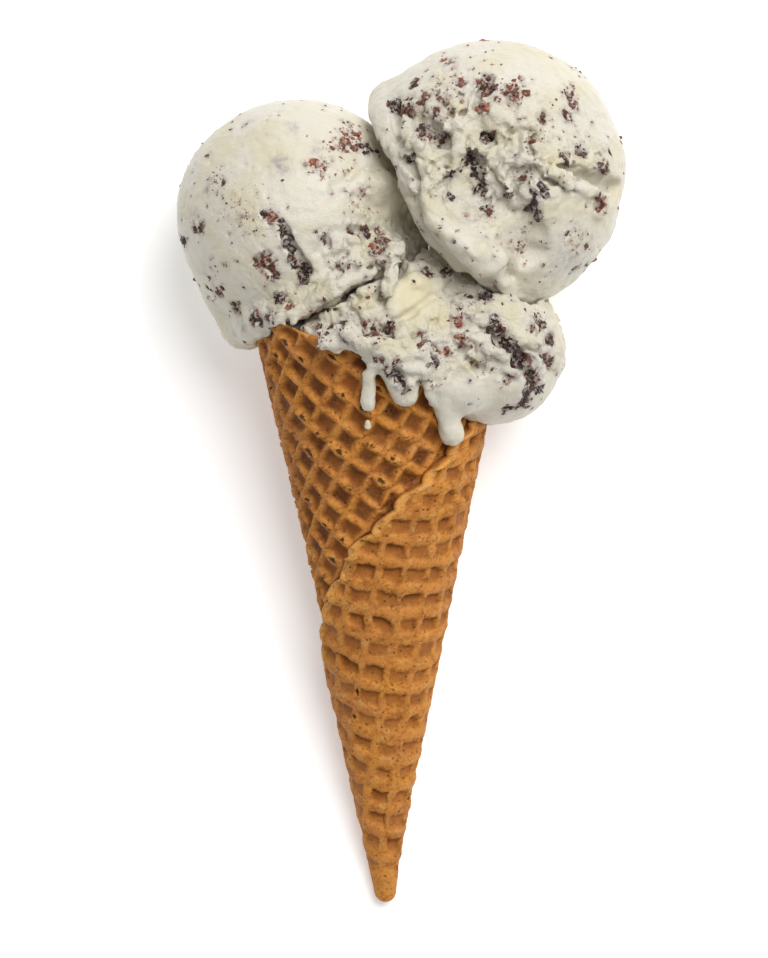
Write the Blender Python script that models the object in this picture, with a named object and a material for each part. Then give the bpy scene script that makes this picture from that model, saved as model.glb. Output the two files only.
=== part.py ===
"""Ice cream cone with three scoops, lying on its side on a table.

A waffle cone, rolled from one round wafer, holds three scoops of soft ice cream with chocolate pieces.
Two scoops lean outwards side by side, and the third sits in the mouth, torn over the rim and dripping.

Metres, +Z up. The table is the plane z = 0, the cone points along -Y, and the origin is on the table
under the middle of the whole.
"""

import math

import bpy
import numpy as np

MM = 0.001

# The cone. Its lowest straight line lies on the table, so its axis climbs by the cone's half angle.
HALF_ANGLE = math.radians(10.75)
TIP_X = -5.3 * MM
TIP_Y = -96.3 * MM
TIP_REACH = 11.5 * MM      # from the sharp point the sides aim at, back to the rounded tip
AXIS = np.array([0.0, math.cos(HALF_ANGLE), math.sin(HALF_ANGLE)])
UP = np.array([0.0, -math.sin(HALF_ANGLE), math.cos(HALF_ANGLE)])
RIGHT = np.array([1.0, 0.0, 0.0])
APEX = np.array([TIP_X, TIP_Y - TIP_REACH, 0.0])

# The wafer: a round sheet that wraps once round, its edge passing close to the apex. Angles on the flat
# sheet are measured from the line that faces up, and one turn of the cone takes up WRAP of them.
SHEET_DIAMETER = 166.0 * MM
SHEET_OFFSET = -10.5 * MM
SHEET_MIDDLE = math.radians(45.0)
WRAP = math.radians(67.25)
LAP_TOP = 0.6 * MM         # the outer lap stands this far proud of the plain cone
LAP_STEP = 2.0 * MM        # and runs inwards by one sheet in one turn
INNER_WALL = 3.3 * MM
FLARE = 1.4 * MM           # the mouth is this much out of round, towards the left
FLARE_REACH = 155.0 * MM
CONE_COLUMNS = 150
CONE_ROWS = 120
INNER_ROWS = 14
CAVITY_START = 27.0 * MM
FILL_START = 33.0 * MM
CONE_TRIANGLES = 4300

# The waffle pattern, square on the flat sheet.
PITCH = 6.03 * MM
PATTERN_TURN = math.radians(-9.75)
PATTERN_PHASE = (-0.336, 0.334)
PIT_DEPTH = 1.15 * MM
PIT_FLOOR = 0.27           # of the pitch, from a pit's middle to the foot of its wall
PIT_RIM = 0.43             # and to the top of its wall
EDGE_MARGIN = 1.6 * MM     # pits stay this clear of the rim

# Ice cream. A scoop is a ball on a drum or a cut ball, with a squeezed-out lip round its flat base.
GAP = 0.5 * MM             # between scoops
WAFER_GAP = 0.9 * MM       # between ice cream and wafer
GRID = 1.1 * MM            # spacing of the samples that the scoops are skinned from
SCOOP_TRIANGLES = {"scoop_left": 1300, "scoop_right": 2000, "scoop_lower": 2200}

LEFT_CENTRE = np.array([-23.9, 59.3, 25.8]) * MM
LEFT_RADIUS = 26.6 * MM
LEFT_AXIS = np.array([-0.447, 0.893, 0.040])
LEFT_DEPTH = 19.2 * MM     # from the ball's centre back to the flat base
LEFT_LIP = (20.6 * MM, 4.0 * MM, 2.6 * MM)      # radius, half thickness and height above the base
LEFT_SAG = (21.6 * MM, 3.4 * MM, 8.0 * MM)      # place along the base, height above it and length
LEFT_SAG_RADII = (4.8 * MM, 4.5 * MM)
LEFT_SHOULDER = np.array([[-12.5, 47.3, 42.6], [-3.8, 50.7, 43.0]]) * MM
LEFT_SHOULDER_RADIUS = 4.0 * MM

RIGHT_CENTRE = np.array([19.7, 68.4, 29.5]) * MM
RIGHT_RADIUS = 30.0 * MM
RIGHT_AXIS = np.array([0.785, 0.568, 0.250])
RIGHT_DEPTH = 11.0 * MM
RIGHT_DRUM = 28.5 * MM
RIGHT_LIP = (26.6 * MM, 3.2 * MM, 2.4 * MM)
RIGHT_CORNER = (26.2 * MM, 3.4 * MM, 5.2 * MM)  # place along the base, height above it and radius
# The fold on the lip, as turns round the lip, heights above the base and radii at its two ends.
FOLD_TURNS = (math.radians(84.0), math.radians(55.0))
FOLD_HEIGHTS = (1.5 * MM, 4.2 * MM)
FOLD_RADII = (3.6 * MM, 5.4 * MM)
DRIP_TURN = math.radians(15.0)
DRIP_RADII = (2.2 * MM, 1.5 * MM)
# Where the upper face has broken out: a winding trough and a straight ledge, each as stations of
# offset from the scoop's centre in plan and radius of the groove, in millimetres.
TROUGH = ((-17.7, 10.8, 2.6), (-10.2, 4.8, 3.6), (-5.7, -3.2, 4.2), (2.3, -10.7, 3.6))
LEDGE = ((10.3, -0.2, 2.4), (19.3, -3.7, 3.0), (27.0, -6.4, 2.6))

MOUTH_CENTRE = np.array([-2.3, 34.7, 27.5]) * MM
MOUTH_RADII = np.array([24.0, 21.0, 24.5]) * MM
LOBE_CENTRE = np.array([17.2, 30.0, 27.5]) * MM
LOBE_RADII = np.array([18.7, 17.9, 24.0]) * MM
FILL_TOP = 150.0 * MM      # how far up the cone's side the filling reaches
# The torn edge over the rim and its three drips, as runs along the wafer: turn round the cone in
# degrees, distance down the side and radius, both in millimetres, at the start and then at the end.
DRIPS = (
    (-24.0, 149.6, 2.4, -19.0, 148.6, 2.4),
    (-15.0, 150.0, 2.6, 6.0, 146.0, 3.0),
    (-4.5, 147.0, 1.6, -5.5, 139.0, 1.3),
    (-5.5, 139.0, 1.3, -6.3, 134.5, 1.9),
    (4.0, 144.5, 2.8, 11.5, 137.2, 2.9),
    (16.0, 146.0, 3.0, 27.0, 139.5, 3.0),
    (27.0, 138.0, 2.6, 36.0, 129.5, 2.7),
    (36.0, 129.5, 2.7, 39.5, 126.8, 2.8),
)
DRIP_SINK = 0.35           # height of a drip's middle over the wafer, as a share of its radius

REST_FLAT = 0.2 * MM       # whatever comes this close to the table lies flat on it

WAFER_COLOUR = (0.52, 0.23, 0.07, 1.0)
CREAM_COLOUR = (0.78, 0.75, 0.64, 1.0)


def unit(vector):
    """The vector at length one."""
    return vector / np.linalg.norm(vector)


# Distances to simple solids, negative inside. Points are rows of x, y, z.


def ball(points, centre, radius):
    """Distance to a ball."""
    return np.linalg.norm(points - centre, axis=-1) - radius


def egg(points, centre, radii):
    """Near distance to an ellipsoid."""
    return (np.linalg.norm((points - centre) / radii, axis=-1) - 1.0) * radii.min()


def rod(points, start, end, start_radius, end_radius):
    """Distance to a round-ended rod that tapers from one radius to the other."""
    along = end - start
    share = np.clip((points - start) @ along / (along @ along), 0.0, 1.0)
    nearest = start + share[..., None] * along
    return np.linalg.norm(points - nearest, axis=-1) - (start_radius + (end_radius - start_radius) * share)


def ring(points, centre, axis, major, minor):
    """Distance to a ring of round section."""
    offset = points - centre
    height = offset @ axis
    out = np.sqrt(np.maximum((offset ** 2).sum(-1) - height ** 2, 0.0))
    return np.hypot(out - major, height) - minor


def drum(points, base, axis, length, radius):
    """Distance to a round drum that stands on its base centre along its axis."""
    offset = points - base
    height = offset @ axis
    out = np.sqrt(np.maximum((offset ** 2).sum(-1) - height ** 2, 0.0))
    return np.maximum(out - radius, np.abs(height - length / 2) - length / 2)


def merge(first, second, blend):
    """Union of two distances with a fillet of about the blend's size."""
    share = np.clip(0.5 + 0.5 * (second - first) / blend, 0.0, 1.0)
    return second + (first - second) * share - blend * share * (1.0 - share)


# The rolled wafer.


def lap_edge(reach):
    """Flat angle of the lap's free edge at a distance from the apex."""
    notch = SHEET_OFFSET + SHEET_DIAMETER * math.cos(WRAP / 2)
    share = (np.minimum(reach, notch) - SHEET_OFFSET) / SHEET_DIAMETER
    return SHEET_MIDDLE - np.arccos(share)


def rim_reach(turn):
    """Distance from the apex to the rim, where turn runs from 0 at the lap's edge to 1."""
    return SHEET_OFFSET + SHEET_DIAMETER * np.cos(WRAP * (turn - 0.5))


def flare(angle, reach):
    """How far the wall is pulled outwards, more and more towards the mouth."""
    return FLARE * (reach / FLARE_REACH) ** 3 * np.maximum(-np.sin(angle), 0.0) ** 2


def on_cone(angle, reach, lift):
    """Points at a turn angle about the axis, a distance down the side and a lift off the plain cone."""
    lift = lift + flare(angle, reach)
    outward = np.cos(angle)[..., None] * UP + np.sin(angle)[..., None] * RIGHT
    side = math.cos(HALF_ANGLE) * AXIS + math.sin(HALF_ANGLE) * outward
    normal = math.cos(HALF_ANGLE) * outward - math.sin(HALF_ANGLE) * AXIS
    return APEX + reach[..., None] * side + lift[..., None] * normal


def waffle_depth(flat_angle, reach):
    """Depth of the waffle pits at a place on the flat sheet."""
    across = reach * np.sin(flat_angle)
    along = reach * np.cos(flat_angle)
    cosine = math.cos(PATTERN_TURN)
    sine = math.sin(PATTERN_TURN)
    column = (cosine * across + sine * along) / PITCH - PATTERN_PHASE[0]
    row = (cosine * along - sine * across) / PITCH - PATTERN_PHASE[1]
    from_middle = np.maximum(np.abs(column - np.round(column)), np.abs(row - np.round(row)))
    return PIT_DEPTH * np.clip((PIT_RIM - from_middle) / (PIT_RIM - PIT_FLOOR), 0.0, 1.0)


def outer_wall():
    """Rows of points from the rounded tip to the rim, each from the lap's edge round to under it."""
    turn = np.linspace(0.0, 1.0, CONE_COLUMNS + 1)[None, :]
    pole_reach = TIP_REACH / math.cos(HALF_ANGLE)
    tip_radius = pole_reach * math.sin(HALF_ANGLE) / (1.0 - math.sin(HALF_ANGLE))
    tip_centre = APEX + AXIS * (pole_reach + tip_radius)
    side_start = (pole_reach + tip_radius) * math.cos(HALF_ANGLE)
    share = np.linspace(0.0, 1.0, CONE_ROWS)[:, None]
    reach = side_start + (rim_reach(turn) - side_start) * share
    flat_angle = lap_edge(reach) + WRAP * turn
    angle = flat_angle / WRAP * 2 * math.pi
    clear_of_tip = np.clip((reach - side_start) / (10.0 * MM), 0.0, 1.0)
    clear_of_rim = np.clip((rim_reach(turn) - reach) / EDGE_MARGIN, 0.0, 1.0)
    clear_of_lap = np.clip(turn * 40.0, 0.0, 1.0)
    pits = waffle_depth(flat_angle, reach) * clear_of_tip * clear_of_rim * clear_of_lap
    lap = (LAP_TOP - LAP_STEP * turn) * (0.35 + 0.65 * clear_of_tip)
    side = on_cone(angle, reach, lap - pits)
    cap = []
    for dip in np.linspace(math.pi / 2, HALF_ANGLE, 7)[1:-1]:
        outward = np.cos(angle[0])[:, None] * UP + np.sin(angle[0])[:, None] * RIGHT
        normal = math.cos(dip) * outward - math.sin(dip) * AXIS
        fade = math.cos(dip) * 0.35 * (LAP_TOP - LAP_STEP * turn[0])
        cap.append(tip_centre + (tip_radius + fade)[:, None] * normal)
    pole = tip_centre - tip_radius * AXIS
    return pole, np.concatenate([np.array(cap), side])


def inner_wall(rim_angle, rim):
    """Rows of points from the rim down to the bottom of the cavity, closed round."""
    rows = []
    for share in np.linspace(0.0, 1.0, INNER_ROWS):
        reach = rim + (CAVITY_START - rim) * share
        rows.append(on_cone(rim_angle, reach, np.full_like(reach, -INNER_WALL)))
    pole = APEX + AXIS * (CAVITY_START * math.cos(HALF_ANGLE) - MM)
    return pole, np.array(rows)


def build_cone():
    """The rolled waffle cone as one closed skin: outside, lap step, rim and cavity."""
    pole, outside = outer_wall()
    rows, columns = outside.shape[:2]
    turn = np.linspace(0.0, 1.0, columns)
    rim = rim_reach(turn)
    rim_angle = (lap_edge(rim) + WRAP * turn) / WRAP * 2 * math.pi
    inner_pole, inside = inner_wall(rim_angle[:-1], rim[:-1])
    outside[..., 2] = np.maximum(outside[..., 2], 0.5 * REST_FLAT)
    points = [pole[None], outside.reshape(-1, 3), inside.reshape(-1, 3), inner_pole[None]]
    first_out = 1
    first_in = first_out + rows * columns
    inner_columns = columns - 1
    last = first_in + len(inside) * inner_columns
    faces = []

    def out(row, column):
        return first_out + row * columns + column

    def within(row, column):
        return first_in + row * inner_columns + column % inner_columns

    for column in range(columns - 1):
        faces.append((0, out(0, column + 1), out(0, column)))
        for row in range(rows - 1):
            faces.append((out(row, column), out(row, column + 1),
                          out(row + 1, column + 1), out(row + 1, column)))
        top = rows - 1
        faces.append((out(top, column), out(top, column + 1), within(0, column + 1), within(0, column)))
        for row in range(len(inside) - 1):
            faces.append((within(row, column), within(row, column + 1),
                          within(row + 1, column + 1), within(row + 1, column)))
        faces.append((within(len(inside) - 1, column), within(len(inside) - 1, column + 1), last))
    # The step of the lap, from the sheet below to the free edge.
    faces.append((0, out(0, 0), out(0, columns - 1)))
    for row in range(rows - 1):
        faces.append((out(row, columns - 1), out(row, 0), out(row + 1, 0), out(row + 1, columns - 1)))
    faces.append((out(rows - 1, columns - 1), out(rows - 1, 0), within(0, 0)))
    return np.concatenate(points), faces


def wafer_distance(points):
    """Distance to the wall of the cone without its pits, for cutting the ice cream that touches it."""
    offset = points - APEX
    height = offset @ AXIS
    outward = offset - height[..., None] * AXIS
    out = np.linalg.norm(outward, axis=-1)
    lift = out * math.cos(HALF_ANGLE) - height * math.sin(HALF_ANGLE)
    reach = height * math.cos(HALF_ANGLE) + out * math.sin(HALF_ANGLE)
    angle = np.arctan2(outward @ RIGHT, outward @ UP)
    lift = lift - flare(angle, reach)
    start = lap_edge(reach) / WRAP * 2 * math.pi
    turn = np.mod((angle - start) / (2 * math.pi), 1.0)
    top = LAP_TOP - LAP_STEP * turn
    return np.maximum(np.maximum(lift - top, -INNER_WALL - lift), reach - rim_reach(turn))


def cavity_distance(points):
    """Distance to the hollow inside the cone, kept clear of its wall."""
    offset = points - APEX
    height = offset @ AXIS
    out = np.linalg.norm(offset - height[..., None] * AXIS, axis=-1)
    lift = out * math.cos(HALF_ANGLE) - height * math.sin(HALF_ANGLE)
    reach = height * math.cos(HALF_ANGLE) + out * math.sin(HALF_ANGLE)
    return np.maximum(np.maximum(lift + INNER_WALL + WAFER_GAP, reach - FILL_TOP), FILL_START - reach)


# The ice cream.


def carve(shape, tool, blend):
    """The first distance less the second, with a fillet of about the blend's size."""
    return -merge(-shape, tool, blend)


def lip_frame(axis):
    """Directions round a scoop's lip: level with the table to one side, and up towards the light."""
    level = unit(np.cross(axis, [0.0, 0.0, 1.0]))
    return level, unit(np.cross(level, axis))


def on_top(centre, radius, across, along):
    """The point on a ball's upper face at an offset in plan, given in millimetres."""
    offset = np.array([across, along]) * MM
    return centre + np.array([*offset, math.sqrt(radius ** 2 - offset @ offset)])


def right_scoop(points):
    """The scoop that leans right: ball on a drum, lip, fold and drip, broken out on top."""
    axis = unit(RIGHT_AXIS)
    base = RIGHT_CENTRE - axis * RIGHT_DEPTH
    level, up = lip_frame(axis)
    lip_radius, lip_half, lip_height = RIGHT_LIP

    def on_lip(turn, height):
        return base + lip_radius * (level * math.cos(turn) + up * math.sin(turn)) + axis * height

    shape = drum(points, base, axis, RIGHT_DEPTH, RIGHT_DRUM)
    dome = np.maximum(ball(points, RIGHT_CENTRE, RIGHT_RADIUS), (base - points) @ axis)
    shape = merge(shape, dome, 3.0 * MM)
    for stations in (TROUGH, LEDGE):
        for start, end in zip(stations, stations[1:]):
            ends = [on_top(RIGHT_CENTRE, RIGHT_RADIUS, *station[:2]) for station in (start, end)]
            shape = carve(shape, rod(points, *ends, start[2] * MM, end[2] * MM), MM)
    shape = merge(shape, ring(points, base + axis * lip_height, axis, lip_radius, lip_half), 1.5 * MM)
    fold = [on_lip(turn, height) for turn, height in zip(FOLD_TURNS, FOLD_HEIGHTS)]
    shape = merge(shape, rod(points, *fold, *FOLD_RADII), 1.5 * MM)
    drip = rod(points, on_lip(DRIP_TURN, 0.0), on_lip(DRIP_TURN, -3.0 * MM), *DRIP_RADII)
    shape = merge(shape, drip, 1.5 * MM)
    across, height, radius = RIGHT_CORNER
    return merge(shape, ball(points, base - level * across + axis * height, radius), 2.0 * MM)


def left_scoop(points):
    """The scoop that leans left: a cut ball with a lip that sags past the cone's rim."""
    axis = unit(LEFT_AXIS)
    base = LEFT_CENTRE - axis * LEFT_DEPTH
    level, _ = lip_frame(axis)
    lip_radius, lip_half, lip_height = LEFT_LIP
    shape = np.maximum(ball(points, LEFT_CENTRE, LEFT_RADIUS), (base - points) @ axis)
    shape = merge(shape, ring(points, base + axis * lip_height, axis, lip_radius, lip_half), 2.5 * MM)
    across, height, length = LEFT_SAG
    sag = base - level * across + axis * height
    shape = merge(shape, rod(points, sag + axis * length, sag, *LEFT_SAG_RADII), 3.0 * MM)
    shoulder = rod(points, *LEFT_SHOULDER, LEFT_SHOULDER_RADIUS, LEFT_SHOULDER_RADIUS)
    return merge(shape, shoulder, 2.0 * MM)


def drips(points):
    """The torn edge that hangs over the rim, and its drips down the wafer."""
    shape = np.full(points.shape[:-1], np.inf)
    for start_turn, start_reach, start_radius, end_turn, end_reach, end_radius in DRIPS:
        radii = np.array([start_radius, end_radius]) * MM
        ends = on_cone(np.radians([start_turn, end_turn]), np.array([start_reach, end_reach]) * MM,
                       radii * DRIP_SINK)
        run = rod(points, *ends, *radii)
        shape = merge(np.minimum(shape, run + MM), run, MM)
    return shape


def lower_scoop(points):
    """The scoop in the mouth of the cone, with what fills the cone below it."""
    shape = merge(egg(points, MOUTH_CENTRE, MOUTH_RADII), egg(points, LOBE_CENTRE, LOBE_RADII), 5.0 * MM)
    shape = merge(shape, drips(points), 1.2 * MM)
    return merge(shape, cavity_distance(points), MM)


def sample(low, high):
    """Points of a regular grid that covers a box."""
    counts = np.ceil((high - low) / GRID).astype(int) + 1
    lines = [low[side] + GRID * np.arange(counts[side]) for side in range(3)]
    return np.stack(np.meshgrid(*lines, indexing="ij"), axis=-1)


def soften(values):
    """The samples averaged with their neighbours, which rounds creases and thins no more than a cell."""
    for side in range(3):
        ahead = np.concatenate([np.take(values, range(1, values.shape[side]), side),
                                np.take(values, [-1], side)], side)
        behind = np.concatenate([np.take(values, [0], side),
                                 np.take(values, range(values.shape[side] - 1), side)], side)
        values = 0.5 * values + 0.25 * (ahead + behind)
    return values


def fill_pinches(values):
    """Samples where no small square is solid on one diagonal only, so that the skin never meets itself."""
    hair = -0.02 * MM
    found = True
    while found:
        found = False
        for side in range(3):
            flat = np.moveaxis(values, side, 0)
            a, b, c, d = flat[:, :-1, :-1], flat[:, 1:, 1:], flat[:, :-1, 1:], flat[:, 1:, :-1]
            for first, second, third, fourth in ((a, b, c, d), (c, d, a, b)):
                pinch = (first < 0.0) & (second < 0.0) & (third >= 0.0) & (fourth >= 0.0)
                third[pinch] = hair
                found = found or bool(pinch.any())
    return values


def skin(values, grid):
    """Closed quads round the negative values of a sampled distance, one point for each mixed cell."""
    inside = values < 0.0
    shape = np.array(values.shape) - 1
    total = np.zeros((*shape, 3))
    count = np.zeros(shape)
    for side in range(3):
        others = [axis for axis in range(3) if axis != side]
        for shift in ((0, 0), (0, 1), (1, 0), (1, 1)):
            start = [0, 0, 0]
            start[others[0]], start[others[1]] = shift
            near = tuple(slice(first, first + size) for first, size in zip(start, shape))
            start[side] = 1
            far = tuple(slice(first, first + size) for first, size in zip(start, shape))
            crossed = inside[near] != inside[far]
            share = np.where(crossed, values[near] / np.where(crossed, values[near] - values[far], 1.0), 0.0)
            place = grid[near] + share[..., None] * (grid[far] - grid[near])
            total += np.where(crossed[..., None], place, 0.0)
            count += crossed
    mixed = count > 0
    number = np.full(tuple(shape), -1)
    number[mixed] = np.arange(mixed.sum())
    points = total[mixed] / count[mixed][:, None]
    faces = []
    for side in range(3):
        first, second = [(1, 2), (2, 0), (0, 1)][side]
        here = [slice(1, None)] * 3
        here[side] = slice(0, -1)
        ahead = [slice(1, None)] * 3
        low = inside[tuple(here)]
        high = inside[tuple(ahead)]
        cells = np.argwhere(low != high)
        cells[:, first] += 1
        cells[:, second] += 1
        leaving = inside[tuple(cells.T)]
        corners = []
        for step in ((0, 0), (-1, 0), (-1, -1), (0, -1)):
            corner = cells.copy()
            corner[:, first] += step[0]
            corner[:, second] += step[1]
            corners.append(number[tuple(corner.T)])
        quads = np.stack(corners, axis=1)
        quads[~leaving] = quads[~leaving][:, ::-1]
        faces.append(quads)
    return points, np.concatenate(faces).tolist()


def material(name, colour, roughness):
    """A plain Principled material."""
    made = bpy.data.materials.new(name)
    made.use_nodes = True
    shader = made.node_tree.nodes["Principled BSDF"]
    shader.inputs["Base Color"].default_value = colour
    shader.inputs["Roughness"].default_value = roughness
    shader.inputs["Metallic"].default_value = 0.0
    return made


def place(name, points, faces, triangles, finish):
    """Adds one named object, thinned to about the given number of triangles and settled on the table."""
    mesh = bpy.data.meshes.new(name)
    mesh.from_pydata(points.tolist(), [], faces)
    part = bpy.data.objects.new(name, mesh)
    bpy.context.scene.collection.objects.link(part)
    thin = part.modifiers.new("thin", "DECIMATE")
    thin.ratio = triangles / sum(len(face) - 2 for face in faces)
    thin.use_collapse_triangulate = True
    shown = part.evaluated_get(bpy.context.evaluated_depsgraph_get())
    part.data = bpy.data.meshes.new_from_object(shown)
    part.data.name = name
    part.modifiers.clear()
    bpy.data.meshes.remove(mesh)
    for vertex in part.data.vertices:
        if vertex.co.z < REST_FLAT:
            vertex.co.z = 0.0
    part.data.materials.append(finish)
    part.data.shade_smooth()


def main():
    for old in list(bpy.data.objects):
        bpy.data.objects.remove(old, do_unlink=True)
    wafer = material("wafer", WAFER_COLOUR, 0.7)
    cream = material("cream", CREAM_COLOUR, 0.35)
    points, faces = build_cone()
    place("cone", points, faces, CONE_TRIANGLES, wafer)

    grid = sample(np.array([-56.0, -76.0, -3.0]) * MM, np.array([58.0, 101.0, 62.0]) * MM)
    table = -grid[..., 2]
    right = right_scoop(grid)
    left = np.maximum(left_scoop(grid), GAP - right)
    wafer_wall = wafer_distance(grid)
    lower = np.maximum(lower_scoop(grid), GAP - right)
    lower = np.maximum(lower, GAP - left_scoop(grid))
    lower = np.maximum(lower, WAFER_GAP - wafer_wall)
    left = np.maximum(left, WAFER_GAP - wafer_wall)
    for name, values in (("scoop_left", left), ("scoop_right", right), ("scoop_lower", lower)):
        points, faces = skin(fill_pinches(np.maximum(soften(values), table)), grid)
        place(name, points, faces, SCOOP_TRIANGLES[name], cream)


main()
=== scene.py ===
"""Looks of an ice cream cone with three scoops of chocolate-chip ice cream, lying on a pale table.

The rolled waffle cone, the three scoops, the chocolate pieces and the fallen drop of cream are built as
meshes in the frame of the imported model, in metres, and dressed with procedural finishes.
"""

import logging
import math
from collections.abc import Callable
from dataclasses import dataclass, field
from enum import Enum
from itertools import product
from typing import ClassVar

import bpy
import numpy as np
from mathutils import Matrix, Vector


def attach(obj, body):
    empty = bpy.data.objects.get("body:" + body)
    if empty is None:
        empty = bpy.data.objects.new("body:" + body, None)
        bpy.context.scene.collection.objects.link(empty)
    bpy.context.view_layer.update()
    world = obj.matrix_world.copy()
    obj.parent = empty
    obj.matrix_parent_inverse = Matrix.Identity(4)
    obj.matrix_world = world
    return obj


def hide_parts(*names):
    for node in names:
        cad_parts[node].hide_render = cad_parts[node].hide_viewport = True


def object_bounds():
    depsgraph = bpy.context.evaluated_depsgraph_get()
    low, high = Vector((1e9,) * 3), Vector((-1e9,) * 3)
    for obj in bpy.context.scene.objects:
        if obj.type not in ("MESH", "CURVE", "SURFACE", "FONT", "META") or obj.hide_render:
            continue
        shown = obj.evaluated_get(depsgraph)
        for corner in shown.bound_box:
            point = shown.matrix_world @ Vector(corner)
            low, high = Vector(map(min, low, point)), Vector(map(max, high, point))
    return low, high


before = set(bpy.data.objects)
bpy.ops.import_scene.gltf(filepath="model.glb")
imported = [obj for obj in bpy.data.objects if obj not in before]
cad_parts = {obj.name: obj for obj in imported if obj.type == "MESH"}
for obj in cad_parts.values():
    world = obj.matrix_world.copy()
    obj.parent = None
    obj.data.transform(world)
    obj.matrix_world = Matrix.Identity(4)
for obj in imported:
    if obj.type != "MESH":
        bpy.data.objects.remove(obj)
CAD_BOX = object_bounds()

MM = 0.001
REPORT = logging.getLogger("ice_cream_cone")

Array = np.ndarray
Points = np.ndarray
Distance = Callable[[Points], Array]
Socket = bpy.types.NodeSocket
Three = tuple[float, float, float]
Four = tuple[float, float, float, float]
Colour = Four


def stand(name: str, data: bpy.types.ID) -> bpy.types.Object:
    """Puts an object with its data into the scene.

    Args:
        name: Name of the object.
        data: Its mesh, lamp or camera.

    Returns:
        The new object.
    """
    made = bpy.data.objects.new(name, data)
    bpy.context.scene.collection.objects.link(made)
    return made


def unit(vector: Array) -> Array:
    """The vector at length one."""
    return vector / np.linalg.norm(vector)


def smooth(values: Array, low: float, high: float) -> Array:
    """A soft step from 0 at low to 1 at high."""
    share = np.clip((values - low) / (high - low), 0.0, 1.0)
    return share * share * (3.0 - 2.0 * share)


def ball(points: Points, centre: Array, radius: float) -> Array:
    """Distance to a ball."""
    return np.linalg.norm(points - centre, axis=-1) - radius


def egg(points: Points, centre: Array, radii: Array) -> Array:
    """Near distance to an ellipsoid."""
    return (np.linalg.norm((points - centre) / radii, axis=-1) - 1.0) * radii.min()


def rod(points: Points, start: Array, end: Array, start_radius: float,
        end_radius: float) -> Array:
    """Distance to a round-ended rod that tapers.

    Args:
        points: Rows of x, y, z.
        start: Middle of one end.
        end: Middle of the other end.
        start_radius: Radius at the start.
        end_radius: Radius at the end.

    Returns:
        The distance at each point, negative inside.
    """
    along = end - start
    share = np.clip((points - start) @ along / max(along @ along, 1e-12), 0.0, 1.0)
    nearest = start + share[..., None] * along
    return np.linalg.norm(points - nearest, axis=-1) - (start_radius + (end_radius - start_radius) * share)


def ring(points: Points, centre: Array, axis: Array, major: float, minor: float) -> Array:
    """Distance to a ring of round section.

    Args:
        points: Rows of x, y, z.
        centre: Middle of the ring.
        axis: Direction through the ring's hole.
        major: Radius of the ring's middle line.
        minor: Radius of its section.

    Returns:
        The distance at each point, negative inside.
    """
    offset = points - centre
    height = offset @ axis
    out = np.sqrt(np.maximum((offset ** 2).sum(-1) - height ** 2, 0.0))
    return np.hypot(out - major, height) - minor


def drum(points: Points, base: Array, axis: Array, length: float, radius: float) -> Array:
    """Distance to a round drum.

    Args:
        points: Rows of x, y, z.
        base: Middle of the drum's base.
        axis: Direction from the base to the top.
        length: Height of the drum.
        radius: Radius of the drum.

    Returns:
        The distance at each point, negative inside.
    """
    offset = points - base
    height = offset @ axis
    out = np.sqrt(np.maximum((offset ** 2).sum(-1) - height ** 2, 0.0))
    return np.maximum(out - radius, np.abs(height - length / 2) - length / 2)


def merge(first: Array, second: Array, blend: float) -> Array:
    """Union of two distances with a fillet of about the blend's size."""
    share = np.clip(0.5 + 0.5 * (second - first) / blend, 0.0, 1.0)
    return second + (first - second) * share - blend * share * (1.0 - share)


def carve(shape: Array, tool: Array, blend: float) -> Array:
    """The first distance less the second, with a fillet of about the blend's size."""
    return -merge(-shape, tool, blend)


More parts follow.
